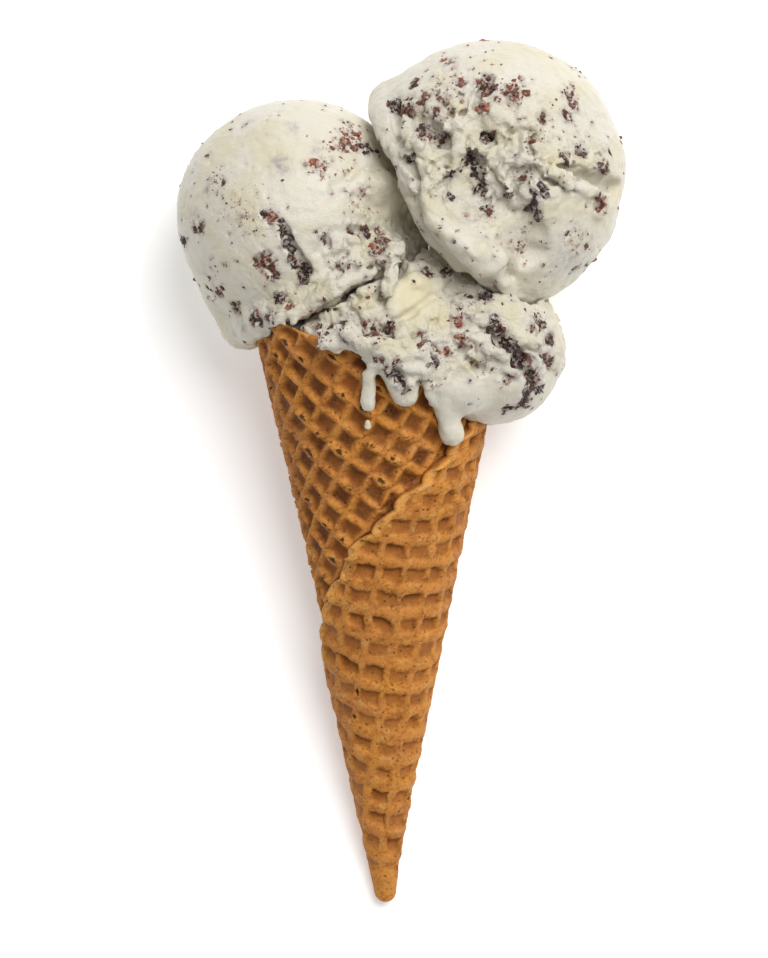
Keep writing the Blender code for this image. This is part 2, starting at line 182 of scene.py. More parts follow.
class Noise:
    """Smooth seeded noise in space, which repeats only far beyond the size of the food."""

    SIDE = 32
    TURN = np.array([[0.36, 0.48, -0.8], [-0.8, 0.60, 0.0], [0.48, 0.64, 0.6]])

    def __init__(self, seed: int) -> None:
        """Draws the values at the lattice points."""
        self.values = np.random.default_rng(seed).uniform(-1.0, 1.0, self.SIDE ** 3).astype(np.float32)

    def cells(self, points: Points, size: float, shift: float) -> tuple[Array, Array]:
        """Splits places into whole cells and the parts past them.

        Args:
            points: Rows of x, y, z.
            size: Size of a cell.
            shift: Moves the cells, in sizes.

        Returns:
            The cells' corners, and places within the cells from 0 to 1.
        """
        place = (points / size).astype(np.float32) + np.float32(self.SIDE * 4 + shift)
        corner = np.floor(place).astype(np.int32)
        return corner, place - corner

    def index(self, corner: Array, step: tuple[int, ...]) -> Array:
        """Places among the values of the lattice points a step away from the corners."""
        lattice = (corner + np.array(step, np.int32)) % self.SIDE
        return (lattice[..., 0] * self.SIDE + lattice[..., 1]) * self.SIDE + lattice[..., 2]

    def at(self, points: Points, size: float) -> Array:
        """Noise for lumps of one size.

        Args:
            points: Rows of x, y, z.
            size: Distance between lattice points.

        Returns:
            Values from about -1 to 1.
        """
        corner, part = self.cells(points, size, 0.37)
        fade = part * part * part * (part * (part * 6.0 - 15.0) + 10.0)
        total = np.zeros(part.shape[:-1], np.float32)
        for step in product((0, 1), repeat=3):
            weight = np.ones_like(total)
            for side in range(3):
                weight *= fade[..., side] if step[side] else 1.0 - fade[..., side]
            total += weight * self.values[self.index(corner, step)]
        return total

    def layers(self, points: Points, size: float, count: int, gain: float = 0.5) -> Array:
        """Noise at several sizes, each half the last.

        Args:
            points: Rows of x, y, z.
            size: Size of the largest lumps.
            count: How many sizes are added up.
            gain: Strength of each size against the one before.

        Returns:
            Values from about -1 to 1.
        """
        total = np.zeros(points.shape[:-1])
        strength = 1.0
        sum_of_strengths = 0.0
        turned = points
        for _ in range(count):
            total += strength * self.at(turned, size)
            sum_of_strengths += strength
            turned = turned @ self.TURN.T + 0.0137
            size *= 0.5
            strength *= gain
        return total / sum_of_strengths * 1.5

    def folds(self, points: Points, size: float, count: int) -> Array:
        """Rounded lumps with sharp creases between them.

        Args:
            points: Rows of x, y, z.
            size: Size of the largest lumps.
            count: How many sizes are added up.

        Returns:
            0 in the creases and about 1 on the lumps.
        """
        total = np.zeros(points.shape[:-1])
        turned = points
        strength = 0.6
        for _ in range(count):
            total += strength * np.minimum(np.abs(self.at(turned, size)) * 2.2, 1.0)
            turned = turned @ self.TURN.T + 0.0071
            size *= 0.55
            strength *= 0.5
        return total

    def crumbs(self, points: Points, size: float) -> Array:
        """Distance to the nearest of many scattered points.

        Args:
            points: Rows of x, y, z.
            size: Spacing of the scattered points.

        Returns:
            The distances in sizes: low on lumps and high in the creases between them.
        """
        corner, part = self.cells(points, size, 0.61)
        nearest = np.full(part.shape[:-1], 9.0, np.float32)
        for step in product((-1, 0, 1), repeat=3):
            index = self.index(corner, step)
            away = np.zeros(part.shape[:-1], np.float32)
            for side in range(3):
                spot = step[side] + 0.5 + 0.42 * self.values[(index + 977 * (side + 1)) % len(self.values)]
                away += (spot - part[..., side]) ** 2
            nearest = np.minimum(nearest, away)
        return np.sqrt(nearest)


@dataclass
class Skin:
    """A closed surface: points, quads and named values at each point."""

    points: Array
    quads: Array
    marks: dict[str, Array] = field(default_factory=dict)

    def largest(self) -> "Skin":
        """Leaves out what doesn't hang together with the largest piece.

        Returns:
            The surface of the largest piece.
        """
        labels = np.arange(len(self.points))
        while True:
            lowest = labels[self.quads].min(axis=1)
            fresh = labels.copy()
            np.minimum.at(fresh, self.quads.ravel(), np.repeat(lowest, 4))
            fresh = fresh[fresh]
            if np.array_equal(fresh, labels):
                break
            labels = fresh
        most = np.bincount(labels).argmax()
        kept = labels == most
        number = np.cumsum(kept) - 1
        quads = number[self.quads[kept[self.quads[:, 0]]]]
        return Skin(self.points[kept], quads, {name: mark[kept] for name, mark in self.marks.items()})

    def to_object(self, name: str, smooth_shading: bool = True) -> bpy.types.Object:
        """Makes a mesh object of the surface.

        Args:
            name: Name of the object and its mesh.
            smooth_shading: Whether its faces shade smoothly.

        Returns:
            The new object, linked to the scene.
        """
        mesh = bpy.data.meshes.new(name)
        mesh.from_pydata(self.points.tolist(), [], self.quads.tolist())
        for mark, values in self.marks.items():
            if values.ndim == 1:
                layer = mesh.attributes.new(mark, "FLOAT", "POINT")
                layer.data.foreach_set("value", values.astype(np.float32))
            else:
                layer = mesh.attributes.new(mark, "FLOAT_VECTOR", "POINT")
                layer.data.foreach_set("vector", values.astype(np.float32).ravel())
        if smooth_shading:
            mesh.shade_smooth()
        return stand(name, mesh)


class Block:
    """A box of samples of a distance, negative inside the food, with colour spots in the same grid."""

    def __init__(self, low: Array, high: Array, step: float) -> None:
        """Sets the box out.

        Args:
            low: Lowest corner.
            high: Highest corner.
            step: Spacing of the samples.
        """
        self.low = low
        self.step = step
        self.counts = np.ceil((high - low) / step).astype(int) + 1
        self.values = np.full(tuple(self.counts), 1.0, np.float32)
        # Colour layers: stains round chips with painted shade, the blush round chips, and a yellow tint that
        # is partly painted shade.
        self.layers = {name: np.zeros(tuple(self.counts), np.float32)
                       for name in ("stain_and_shade", "blush", "yellow_tint_and_shade")}
        self.heights = np.zeros(tuple(self.counts[:2]), np.float32)

    def fill(self, shape: Distance, stride: int = 3) -> None:
        """Samples a smooth distance at every few places and fills in between.

        Args:
            shape: The distance.
            stride: How many fine steps lie between its samples.
        """
        lines = [self.low[side] + self.step * stride * np.arange((self.counts[side] - 1) // stride + 2)
                 for side in range(3)]
        coarse = shape(np.stack(np.meshgrid(*lines, indexing="ij"), axis=-1))
        for side in range(3):
            place = np.arange(self.counts[side])
            share = ((place % stride) / stride).reshape([-1 if axis == side else 1 for axis in range(3)])
            below = np.take(coarse, place // stride, side)
            coarse = below + (np.take(coarse, place // stride + 1, side) - below) * share
        self.values = coarse.astype(np.float32)

    def near(self, reach: float) -> tuple[Array, Points]:
        """Places of the samples close to the surface.

        Args:
            reach: Greatest distance from the surface.

        Returns:
            The places as a mask over the box, and their points.
        """
        mask = np.abs(self.values) < reach
        return mask, self.low + self.step * np.argwhere(mask)

    def measure_heights(self) -> None:
        """Notes how high the food stands over each place in plan."""
        levels = self.counts[2]
        inside = self.values < 0.0
        top = levels - 1 - np.argmax(inside[:, :, ::-1], axis=2)
        self.heights = np.where(inside.any(axis=2), self.low[2] + self.step * (top + 0.5), 0.0)
        for _ in range(24):
            padded = np.pad(self.heights, 1)
            around = np.maximum.reduce([padded[2:, 1:-1], padded[:-2, 1:-1],
                                        padded[1:-1, 2:], padded[1:-1, :-2]])
            self.heights = np.where(self.heights > 0.0, self.heights, around)

    def on_top(self, x: float, y: float, lift: float = 0.0) -> Array:
        """The point on the upper face over a place in plan.

        Args:
            x: Place to the right, in millimetres.
            y: Place towards the scoops, in millimetres.
            lift: Height over the upper face, in millimetres.

        Returns:
            The point, in metres.
        """
        column = np.clip(np.rint((np.array([x, y]) * MM - self.low[:2]) / self.step).astype(int),
                         0, self.counts[:2] - 1)
        return np.array([x * MM, y * MM, self.heights[tuple(column)] + lift * MM])

    def window(self, low: Array, high: Array) -> tuple[tuple[slice, slice, slice], Points]:
        """The samples within a small box.

        Args:
            low: Lowest corner.
            high: Highest corner.

        Returns:
            Their places as slices, and their points.
        """
        first = np.clip(np.floor((low - self.low) / self.step).astype(int), 0, self.counts - 1)
        last = np.clip(np.ceil((high - self.low) / self.step).astype(int) + 1, 1, self.counts)
        places = tuple(slice(a, b) for a, b in zip(first, last))
        lines = [self.low[side] + self.step * np.arange(first[side], last[side]) for side in range(3)]
        return places, np.stack(np.meshgrid(*lines, indexing="ij"), axis=-1)

    def stamp(self, ends: tuple[Array, Array], radii: tuple[float, float], blend: float,
              cut: bool = False, warp: Callable[[Points], Points] | None = None) -> None:
        """Adds a rod to the food or cuts it out.

        Args:
            ends: Middles of the rod's ends.
            radii: Radii at the ends.
            blend: Size of the fillet where it meets the rest.
            cut: Whether the rod is cut out.
            warp: Bends the points before the rod is measured.
        """
        reach = max(radii) + 2.0 * blend + 1.5 * MM
        low = np.minimum(*ends) - reach
        high = np.maximum(*ends) + reach
        places, points = self.window(low, high)
        if points.size == 0:
            return
        tool = rod(points if warp is None else warp(points), *ends, *radii)
        here = self.values[places]
        self.values[places] = carve(here, tool, blend) if cut else merge(here, tool, blend)

    def spot(self, name: str, centre: Array, radius: float, strength: float) -> None:
        """Adds a soft round spot to a colour layer.

        Args:
            name: The layer: stain_and_shade, blush or yellow_tint_and_shade.
            centre: Middle of the spot.
            radius: Distance at which it has faded away.
            strength: Value at its middle.
        """
        places, points = self.window(centre - radius, centre + radius)
        share = np.clip(1.0 - np.linalg.norm(points - centre, axis=-1) / radius, 0.0, 1.0)
        self.layers[name][places] = np.maximum(self.layers[name][places], strength * share)

    def limit(self, low: Array, high: Array) -> None:
        """Cuts away what lies outside a box, and keeps the outermost samples outside the food.

        Args:
            low: Lowest corner of the box.
            high: Highest corner of the box.
        """
        for side in range(3):
            place = self.low[side] + self.step * np.arange(self.counts[side])
            outside = np.maximum(low[side] - place, place - high[side])
            outside[[0, -1]] = self.step
            shape = [-1 if axis == side else 1 for axis in range(3)]
            self.values = np.maximum(self.values, outside.reshape(shape).astype(np.float32))

    def soften(self, weight: float) -> None:
        """Averages each sample with its neighbours, which rounds what is finer than a step.

        Args:
            weight: Weight of each neighbour, where the sample and its two neighbours add up to 1.
        """
        for side in range(3):
            last = self.counts[side] - 1
            ahead = np.take(self.values, np.minimum(np.arange(last + 1) + 1, last), side)
            behind = np.take(self.values, np.maximum(np.arange(last + 1) - 1, 0), side)
            self.values = (1.0 - 2.0 * weight) * self.values + weight * (ahead + behind)

    def fill_pinches(self) -> None:
        """Fills samples until no small square is solid on one diagonal only.

        The skin then never meets itself at an edge.
        """
        hair = -0.01 * MM
        found = True
        while found:
            found = False
            for side in range(3):
                flat = np.moveaxis(self.values, side, 0)
                corners = flat[:, :-1, :-1], flat[:, 1:, 1:], flat[:, :-1, 1:], flat[:, 1:, :-1]
                for first, second, third, fourth in (corners, corners[2:] + corners[:2]):
                    pinch = (first < 0.0) & (second < 0.0) & (third >= 0.0) & (fourth >= 0.0)
                    third[pinch] = hair
                    found = found or bool(pinch.any())

    def skin(self) -> Skin:
        """Draws the surface of the food, with one point for each cell that it passes through.

        Returns:
            The closed surface.
        """
        inside = self.values < 0.0
        lower, upper = slice(None, -1), slice(1, None)
        solid = np.zeros(tuple(self.counts - 1), np.int8)
        for corner in product((lower, upper), repeat=3):
            solid += inside[corner]
        cells = np.argwhere((solid > 0) & (solid < 8))
        total = np.zeros((len(cells), 3))
        count = np.zeros(len(cells))
        for side in range(3):
            for shift in product((0, 1), repeat=2):
                start = np.insert(np.array(shift), side, 0)
                end = np.insert(np.array(shift), side, 1)
                first = self.values[tuple((cells + start).T)]
                second = self.values[tuple((cells + end).T)]
                crossed = (first < 0.0) != (second < 0.0)
                share = np.where(crossed, first / np.where(crossed, first - second, 1.0), 0.0)
                total += np.where(crossed[:, None], start + share[:, None] * (end - start), 0.0)
                count += crossed
        points = self.low + self.step * (cells + total / count[:, None])
        number = np.full(tuple(self.counts - 1), -1, np.int32)
        number[tuple(cells.T)] = np.arange(len(cells))
        quads = []
        for side in range(3):
            first, second = [(1, 2), (2, 0), (0, 1)][side]
            here = [slice(1, -1)] * 3
            here[side] = slice(0, -1)
            ahead = [slice(1, -1)] * 3
            ahead[side] = slice(1, None)
            edges = np.argwhere(inside[tuple(here)] != inside[tuple(ahead)])
            edges[:, first] += 1
            edges[:, second] += 1
            leaving = inside[tuple(edges.T)]
            corners = []
            for step in ((0, 0), (-1, 0), (-1, -1), (0, -1)):
                corner = edges.copy()
                corner[:, first] += step[0]
                corner[:, second] += step[1]
                corners.append(number[tuple(corner.T)])
            faces = np.stack(corners, axis=1)
            faces[~leaving] = faces[~leaving][:, ::-1]
            quads.append(faces)
        return Skin(points, np.concatenate(quads))

    def read(self, layer: Array, points: Points) -> Array:
        """Values of a layer at the samples nearest to some points."""
        places = np.clip(np.rint((points - self.low) / self.step).astype(int), 0, self.counts - 1)
        return layer[tuple(places.T)]

    def normals(self, points: Points) -> Points:
        """Directions out of the food at points on its surface.

        Args:
            points: Rows of x, y, z.

        Returns:
            Rows of unit directions.
        """
        slopes = []
        for side in range(3):
            shift = np.zeros(3)
            shift[side] = self.step
            slopes.append(self.read(self.values, points + shift) - self.read(self.values, points - shift))
        slope = np.stack(slopes, axis=-1)
        return slope / np.maximum(np.linalg.norm(slope, axis=-1, keepdims=True), 1e-9)


class Graph:
    """Builds the nodes of one material. The three numbers are the places of a Mix node's colour sockets."""

    FIRST_COLOUR = 6
    SECOND_COLOUR = 7
    MIXED_COLOUR = 2

    def __init__(self, name: str) -> None:
        """Starts a material with a plain Principled shader.

        Args:
            name: Name of the material.
        """
        self.material = bpy.data.materials.new(name)
        self.material.use_nodes = True
        self.tree = self.material.node_tree
        self.shader = self.tree.nodes["Principled BSDF"]
        self.place = self.tree.nodes.new("ShaderNodeTexCoord").outputs["Object"]

    def link(self, values: dict[str | int, object], node: bpy.types.Node) -> None:
        """Gives a node its inputs.

        Args:
            values: Sockets to link or constants to set, by the name or place of the input.
            node: The node that takes them.
        """
        for name, value in values.items():
            if isinstance(value, Socket):
                self.tree.links.new(value, node.inputs[name])
            else:
                node.inputs[name].default_value = value

    def node(self, kind: str, values: dict[str | int, object], **settings: str) -> bpy.types.Node:
        """Makes a node.

        Args:
            kind: Its type.
            values: Sockets or constants for its inputs.
            settings: Its other settings.

        Returns:
            The node.
        """
        made = self.tree.nodes.new("ShaderNode" + kind)
        for name, value in settings.items():
            setattr(made, name, value)
        self.link(values, made)
        return made

    def mark(self, name: str) -> Socket:
        """A named value of the mesh."""
        return self.node("Attribute", {}, attribute_name=name).outputs["Fac"]

    def noise(self, size: float, detail: float = 2.0, roughness: float = 0.5) -> Socket:
        """Smooth noise from 0 to 1, with lumps of a size and finer ones of a number and a strength."""
        values = {"Vector": self.place, "Scale": 1.0 / size, "Detail": detail, "Roughness": roughness}
        return self.node("TexNoise", values).outputs["Fac"]

    def cells(self, size: float) -> Socket:
        """Distance to the nearest of many scattered points, in sizes."""
        return self.node("TexVoronoi", {"Vector": self.place, "Scale": 1.0 / size}).outputs["Distance"]

    def step(self, value: Socket, low: float, high: float, start: float = 0.0, end: float = 1.0) -> Socket:
        """A soft step of a value between low and high, from a start to an end."""
        values = {"Value": value, "From Min": low, "From Max": high, "To Min": start, "To Max": end}
        return self.node("MapRange", values, interpolation_type="SMOOTHSTEP").outputs["Result"]

    def math(self, operation: str, first: Socket, second: Socket | float) -> Socket:
        """The result of an operation on two values."""
        return self.node("Math", {0: first, 1: second}, operation=operation).outputs[0]

    def mix(self, share: Socket, first: Socket | Colour, second: Socket | Colour) -> Socket:
        """A colour part of the way from the first to the second."""
        values = {"Factor": share, self.FIRST_COLOUR: first, self.SECOND_COLOUR: second}
        return self.node("Mix", values, data_type="RGBA").outputs[self.MIXED_COLOUR]

    def bump(self, height: Socket, depth: float, strength: Socket | float = 1.0,
             under: Socket | None = None) -> Socket:
        """A normal for relief finer than the mesh.

        Args:
            height: The relief, from 0 to 1.
            depth: How deep it is, in metres.
            strength: How much of it shows.
            under: Another relief below it.

        Returns:
            The normal.
        """
        values = {"Height": height, "Distance": depth, "Strength": strength}
        if under is not None:
            values["Normal"] = under
        return self.node("Bump", values).outputs["Normal"]

    def dress(self, values: dict[str | int, object]) -> bpy.types.Material:
        """Gives the shader its inputs, which finishes the material."""
        self.link(values, self.shader)
        return self.material


def paint(red: int, green: int, blue: int) -> Colour:
    """A colour from its display values, for a shader.

    Args:
        red: Red from 0 to 255.
        green: Green from 0 to 255.
        blue: Blue from 0 to 255.

    Returns:
        The colour in linear light, with an alpha of 1.
    """
    def linear(value: float) -> float:
        """One display value from 0 to 1 in linear light."""
        return value / 12.92 if value <= 0.04045 else ((value + 0.055) / 1.055) ** 2.4

    return (*(linear(value / 255.0) for value in (red, green, blue)), 1.0)


@dataclass(frozen=True)
class WaferFinish:
    """Baked sugar wafer: golden ridges, brown pits with painted shade in them, burst bubbles and pores
    painted dark as shade, a painted highlight along the edges, and a fine crumb.
    """

    ridge: Colour = paint(201, 132, 62)
    golden: Colour = paint(214, 143, 59)
    toast: Colour = paint(154, 89, 33)
    # Pit colours: partly the browner pit floors, partly painted shade in the pits.
    lap_pit: Colour = paint(156, 93, 36)
    deep_pit: Colour = paint(94, 50, 20)
    # Painted shade colour for the slits of burst bubbles and the pores.
    hole: Colour = paint(56, 29, 13)
    # Painted highlight colour for the lap's edge, the rim and the bubble lips.
    edge: Colour = paint(226, 164, 84)
    flour: Colour = paint(208, 158, 96)
    roughness: float = 0.65
    gloss: float = 0.22
    grain_depth: float = 0.45 * MM
    pore_spacing: float = 1.9 * MM
    pore_depth: float = 0.3 * MM
    crust_depth: float = 0.5 * MM

    def material(self) -> bpy.types.Material:
        """Makes the material.

        Returns:
            The wafer's material.
        """
        graph = Graph("baked_wafer")
        pit = graph.mark("pit")
        deep = graph.mark("deep")
        crumb = graph.noise(0.8 * MM, 4.0, 0.65)
        blotch = graph.noise(4.0 * MM, 4.0, 0.6)
        colour = graph.mix(graph.step(graph.noise(14 * MM, 3.0, 0.6), 0.35, 0.7), self.ridge, self.golden)
        colour = graph.mix(graph.step(blotch, 0.46, 0.72, 0.0, 0.7), colour, self.toast)
        # Deep pits turn darker on the cone's left: partly browner baking, partly painted shade on the side
        # away from the light.
        baked_and_left_shade = graph.math("MULTIPLY", deep, graph.step(graph.noise(7.0 * MM, 1.0), 0.36, 0.62, 0.4, 1.0))
        floor = graph.mix(baked_and_left_shade, self.lap_pit, self.deep_pit)
        # Painted shade: the pit mark darkens the pits, on top of their browner colour.
        uneven_pit = graph.math("ADD", pit, graph.step(blotch, 0.3, 0.7, -0.12, 0.12))
        colour = graph.mix(graph.step(uneven_pit, 0.05, 0.9, 0.0, 0.95), colour, floor)
        # Painted highlight along the lap's edge, the rim and the bubble lips.
        colour = graph.mix(graph.step(graph.mark("edge"), 0.3, 0.9, 0.0, 0.75), colour, self.edge)
        colour = graph.mix(graph.step(crumb, 0.52, 0.66, 0.0, 0.75), colour, self.toast)
        mottle = graph.noise(2.2 * MM, 5.0, 0.7)
        on_ridge = graph.step(pit, 0.1, 0.6, 1.0, 0.1)
        bare = graph.math("MULTIPLY", graph.step(mottle, 0.54, 0.64, 0.0, 0.6), on_ridge)
        colour = graph.mix(bare, colour, self.flour)
        colour = graph.mix(graph.step(mottle, 0.34, 0.45, 0.55, 0.0), colour, self.toast)
        # Painted shade: the pores and the slits of burst bubbles are painted dark as holes.
        pore = graph.cells(self.pore_spacing)
        colour = graph.mix(graph.step(pore, 0.08, 0.17, 0.6, 0.0), colour, self.hole)
        colour = graph.mix(graph.step(graph.mark("slit"), -0.05, 0.4, 0.0, 0.85), colour, self.hole)
        grain = graph.bump(crumb, self.grain_depth, 0.7)
        pores = graph.bump(graph.step(pore, 0.05, 0.25), self.pore_depth, 0.6, grain)
        crust = graph.bump(mottle, self.crust_depth, 0.6, pores)
        return graph.dress({"Base Color": colour, "Normal": crust, "Roughness": self.roughness,
                            "Specular IOR Level": self.gloss})


@dataclass(frozen=True)
class CreamFinish:
    """Soft ice cream: pale, slightly translucent, icy where scraped and glossy where it melts."""

    pale: Colour = paint(217, 211, 196)
    warm: Colour = paint(211, 203, 174)
    # Yellow tint: partly the cream's own, partly painted shade in folds and under the scoops above.
    yellow_tint_and_shade: Colour = paint(213, 203, 168)
    # Lilac grey: real stains round buried chips, and painted shade on the scoops' shaded sides.
    grey: Colour = paint(150, 141, 146)
    brown: Colour = paint(128, 82, 60)
    fleck: Colour = paint(72, 40, 30)
    red_fleck: Colour = paint(164, 98, 66)
    roughness: tuple[float, float] = (0.36, 0.5)
    gloss: float = 0.45
    milkiness: float = 0.22
    tint: Three = (1.0, 0.85, 0.6)
    depth: float = 1.1 * MM
    ice_depth: float = 0.25 * MM
    lump_depth: float = 0.5 * MM

    def material(self) -> bpy.types.Material:
        """Makes the material.

        Returns:
            The cream's material.
        """
        graph = Graph("chip_ice_cream")
        rough = graph.mark("rough")
        colour = graph.mix(graph.step(graph.noise(9 * MM, 2.0), 0.40, 0.72, 0.0, 0.8), self.pale, self.warm)
        # Painted shade: the yellow tint layer darkens the folds and the shaded swirl, on top of the cream's
        # warmer tint.
        colour = graph.mix(graph.step(graph.mark("yellow_tint_and_shade"), 0.0, 1.0), colour, self.yellow_tint_and_shade)
        speck = graph.noise(1.6 * MM, 3.0, 0.6)
        # Real stains round chips, and painted shade where the stain spots lie on shaded sides, such as low on
        # the right scoop's right.
        stain_and_shade = graph.math("MULTIPLY", graph.mark("stain_and_shade"), graph.step(speck, 0.35, 0.65, 0.45, 1.2))
        colour = graph.mix(graph.step(stain_and_shade, 0.05, 0.95, 0.0, 0.9), colour, self.grey)
        blush = graph.math("MULTIPLY", graph.mark("blush"), graph.step(speck, 0.36, 0.64, 0.2, 1.2))
        colour = graph.mix(graph.step(blush, 0.2, 1.1, 0.0, 0.55), colour, self.brown)
        tone = graph.mix(graph.step(graph.noise(1.5 * MM, 1.0), 0.42, 0.58), self.fleck, self.red_fleck)
        ragged = graph.math("MULTIPLY", graph.noise(0.5 * MM, 2.0), 0.45)
        for size, most in ((0.85 * MM, 0.52), (1.7 * MM, 0.50)):
            reach = graph.math("ADD", graph.math("MULTIPLY", graph.mark("blush"), 0.34), most - 0.34)
            away = graph.math("SUBTRACT", reach, graph.math("ADD", graph.cells(size), ragged))
            colour = graph.mix(graph.step(away, -0.06, 0.02, 0.0, 0.9), colour, tone)
        icy = graph.step(rough, 0.0, 0.8, 0.55, 1.0)
        lumpy = graph.step(rough, 0.0, 0.8, 0.3, 0.9)
        fine = graph.bump(graph.noise(0.4 * MM, 3.0, 0.65), self.ice_depth, icy)
        lumps = graph.bump(graph.noise(1.2 * MM, 3.0, 0.6), self.lump_depth, lumpy, fine)
        return graph.dress({
            "Base Color": colour, "Normal": lumps, "Roughness": graph.step(rough, 0.0, 1.0, *self.roughness),
            "Specular IOR Level": self.gloss, "Subsurface Weight": self.milkiness,
            "Subsurface Radius": self.tint, "Subsurface Scale": self.depth})


@dataclass(frozen=True)
class ChocolateFinish:
    """Dark chocolate with a reddish break, each piece a little different."""

    dark: Colour = paint(50, 30, 25)
    brown: Colour = paint(104, 57, 40)
    red: Colour = paint(152, 88, 62)
    film: Colour = paint(186, 178, 168)
    roughness: float = 0.45
    grain_depth: float = 0.15 * MM

    def material(self) -> bpy.types.Material:
        """Makes the material.

        Returns:
            The chocolate's material.
        """
        graph = Graph("dark_chocolate")
        tone = graph.mark("tone")
        colour = graph.mix(graph.step(tone, 0.1, 0.6), self.dark, self.brown)
        colour = graph.mix(graph.step(tone, 0.55, 1.0), colour, self.red)
        smear = graph.step(graph.noise(1.0 * MM, 3.0, 0.6), 0.50, 0.60, 0.0, 0.8)
        colour = graph.mix(graph.math("MULTIPLY", graph.mark("film"), smear), colour, self.film)
        grain = graph.bump(graph.noise(0.5 * MM, 3.0, 0.6), self.grain_depth, 0.6)
        return graph.dress({"Base Color": colour, "Normal": grain, "Roughness": self.roughness})


@dataclass(frozen=True)
class TableFinish:
    """The pale table."""

    white: Colour = (0.95, 0.95, 0.95, 1.0)
    glow: float = 0.33
    roughness: float = 0.9

    def material(self) -> bpy.types.Material:
        """Makes the material.

        Returns:
            The table's material.
        """
        graph = Graph("pale_table")
        return graph.dress({"Base Color": self.white, "Emission Color": self.white,
                            "Emission Strength": self.glow, "Roughness": self.roughness,
                            "Specular IOR Level": 0.0})


@dataclass
class Cone:
    """The plain cone that the wafer is rolled round. Its lowest straight line lies on the table."""

    half_angle: float = math.radians(10.75)
    tip: tuple[float, float] = (-5.3 * MM, -96.3 * MM)
    tip_reach: float = 11.5 * MM
    sheet_diameter: float = 166.0 * MM
    sheet_offset: float = -10.5 * MM
    sheet_middle: float = math.radians(45.0)
    wrap: float = math.radians(67.25)
    lap_top: float = 0.6 * MM
    lap_step: float = 2.0 * MM
    inner_wall: float = 3.3 * MM
    flare_size: float = 1.4 * MM
    flare_reach: float = 155.0 * MM

    def __post_init__(self) -> None:
        """Works out the directions along and across the cone."""
        self.axis = np.array([0.0, math.cos(self.half_angle), math.sin(self.half_angle)])
        self.up = np.array([0.0, -math.sin(self.half_angle), math.cos(self.half_angle)])
        self.right = np.array([1.0, 0.0, 0.0])
        self.apex = np.array([self.tip[0], self.tip[1] - self.tip_reach, 0.0])

    def lap_edge(self, reach: Array) -> Array:
        """Where the lap's free edge lies on the flat sheet.

        Args:
            reach: Distance from the apex.

        Returns:
            The flat angle of the edge.
        """
        notch = self.sheet_offset + self.sheet_diameter * math.cos(self.wrap / 2)
        share = (np.minimum(reach, notch) - self.sheet_offset) / self.sheet_diameter
        return self.sheet_middle - np.arccos(share)

    def rim_reach(self, turn: Array) -> Array:
        """Distance from the apex to the rim, where turn runs from 0 at the lap's edge to 1."""
        return self.sheet_offset + self.sheet_diameter * np.cos(self.wrap * (np.clip(turn, 0.0, 1.0) - 0.5))

    def flare(self, angle: Array, reach: Array) -> Array:
        """How far the wall is pulled out to the left, more and more towards the mouth."""
        return self.flare_size * (reach / self.flare_reach) ** 3 * np.maximum(-np.sin(angle), 0.0) ** 2

    def place(self, angle: Array, reach: Array, lift: Array) -> Points:
        """Points on the cone.

        Args:
            angle: Turn about the axis, from straight up towards the right.
            reach: Distance down the side from the apex.
            lift: Height off the plain cone.

        Returns:
            Rows of x, y, z.
        """
        lift = lift + self.flare(angle, reach)
        outward = np.cos(angle)[..., None] * self.up + np.sin(angle)[..., None] * self.right
        side = math.cos(self.half_angle) * self.axis + math.sin(self.half_angle) * outward
        normal = math.cos(self.half_angle) * outward - math.sin(self.half_angle) * self.axis
        return self.apex + reach[..., None] * side + lift[..., None] * normal

    def unroll(self, points: Points) -> tuple[Array, Array, Array, Array]:
        """Places of points against the rolled sheet.

        Args:
            points: Rows of x, y, z.

        Returns:
            Their lift off the plain cone, reach, flat angle and turn.
        """
        offset = points - self.apex
        height = offset @ self.axis
        outward = offset - height[..., None] * self.axis
        out = np.linalg.norm(outward, axis=-1)
        lift = out * math.cos(self.half_angle) - height * math.sin(self.half_angle)
        reach = height * math.cos(self.half_angle) + out * math.sin(self.half_angle)
        angle = np.arctan2(outward @ self.right, outward @ self.up)
        lift = lift - self.flare(angle, reach)
        start = self.lap_edge(reach)
        turn = np.mod((angle / (2 * math.pi) * self.wrap - start) / self.wrap, 1.0)
        return lift, reach, start + self.wrap * turn, turn


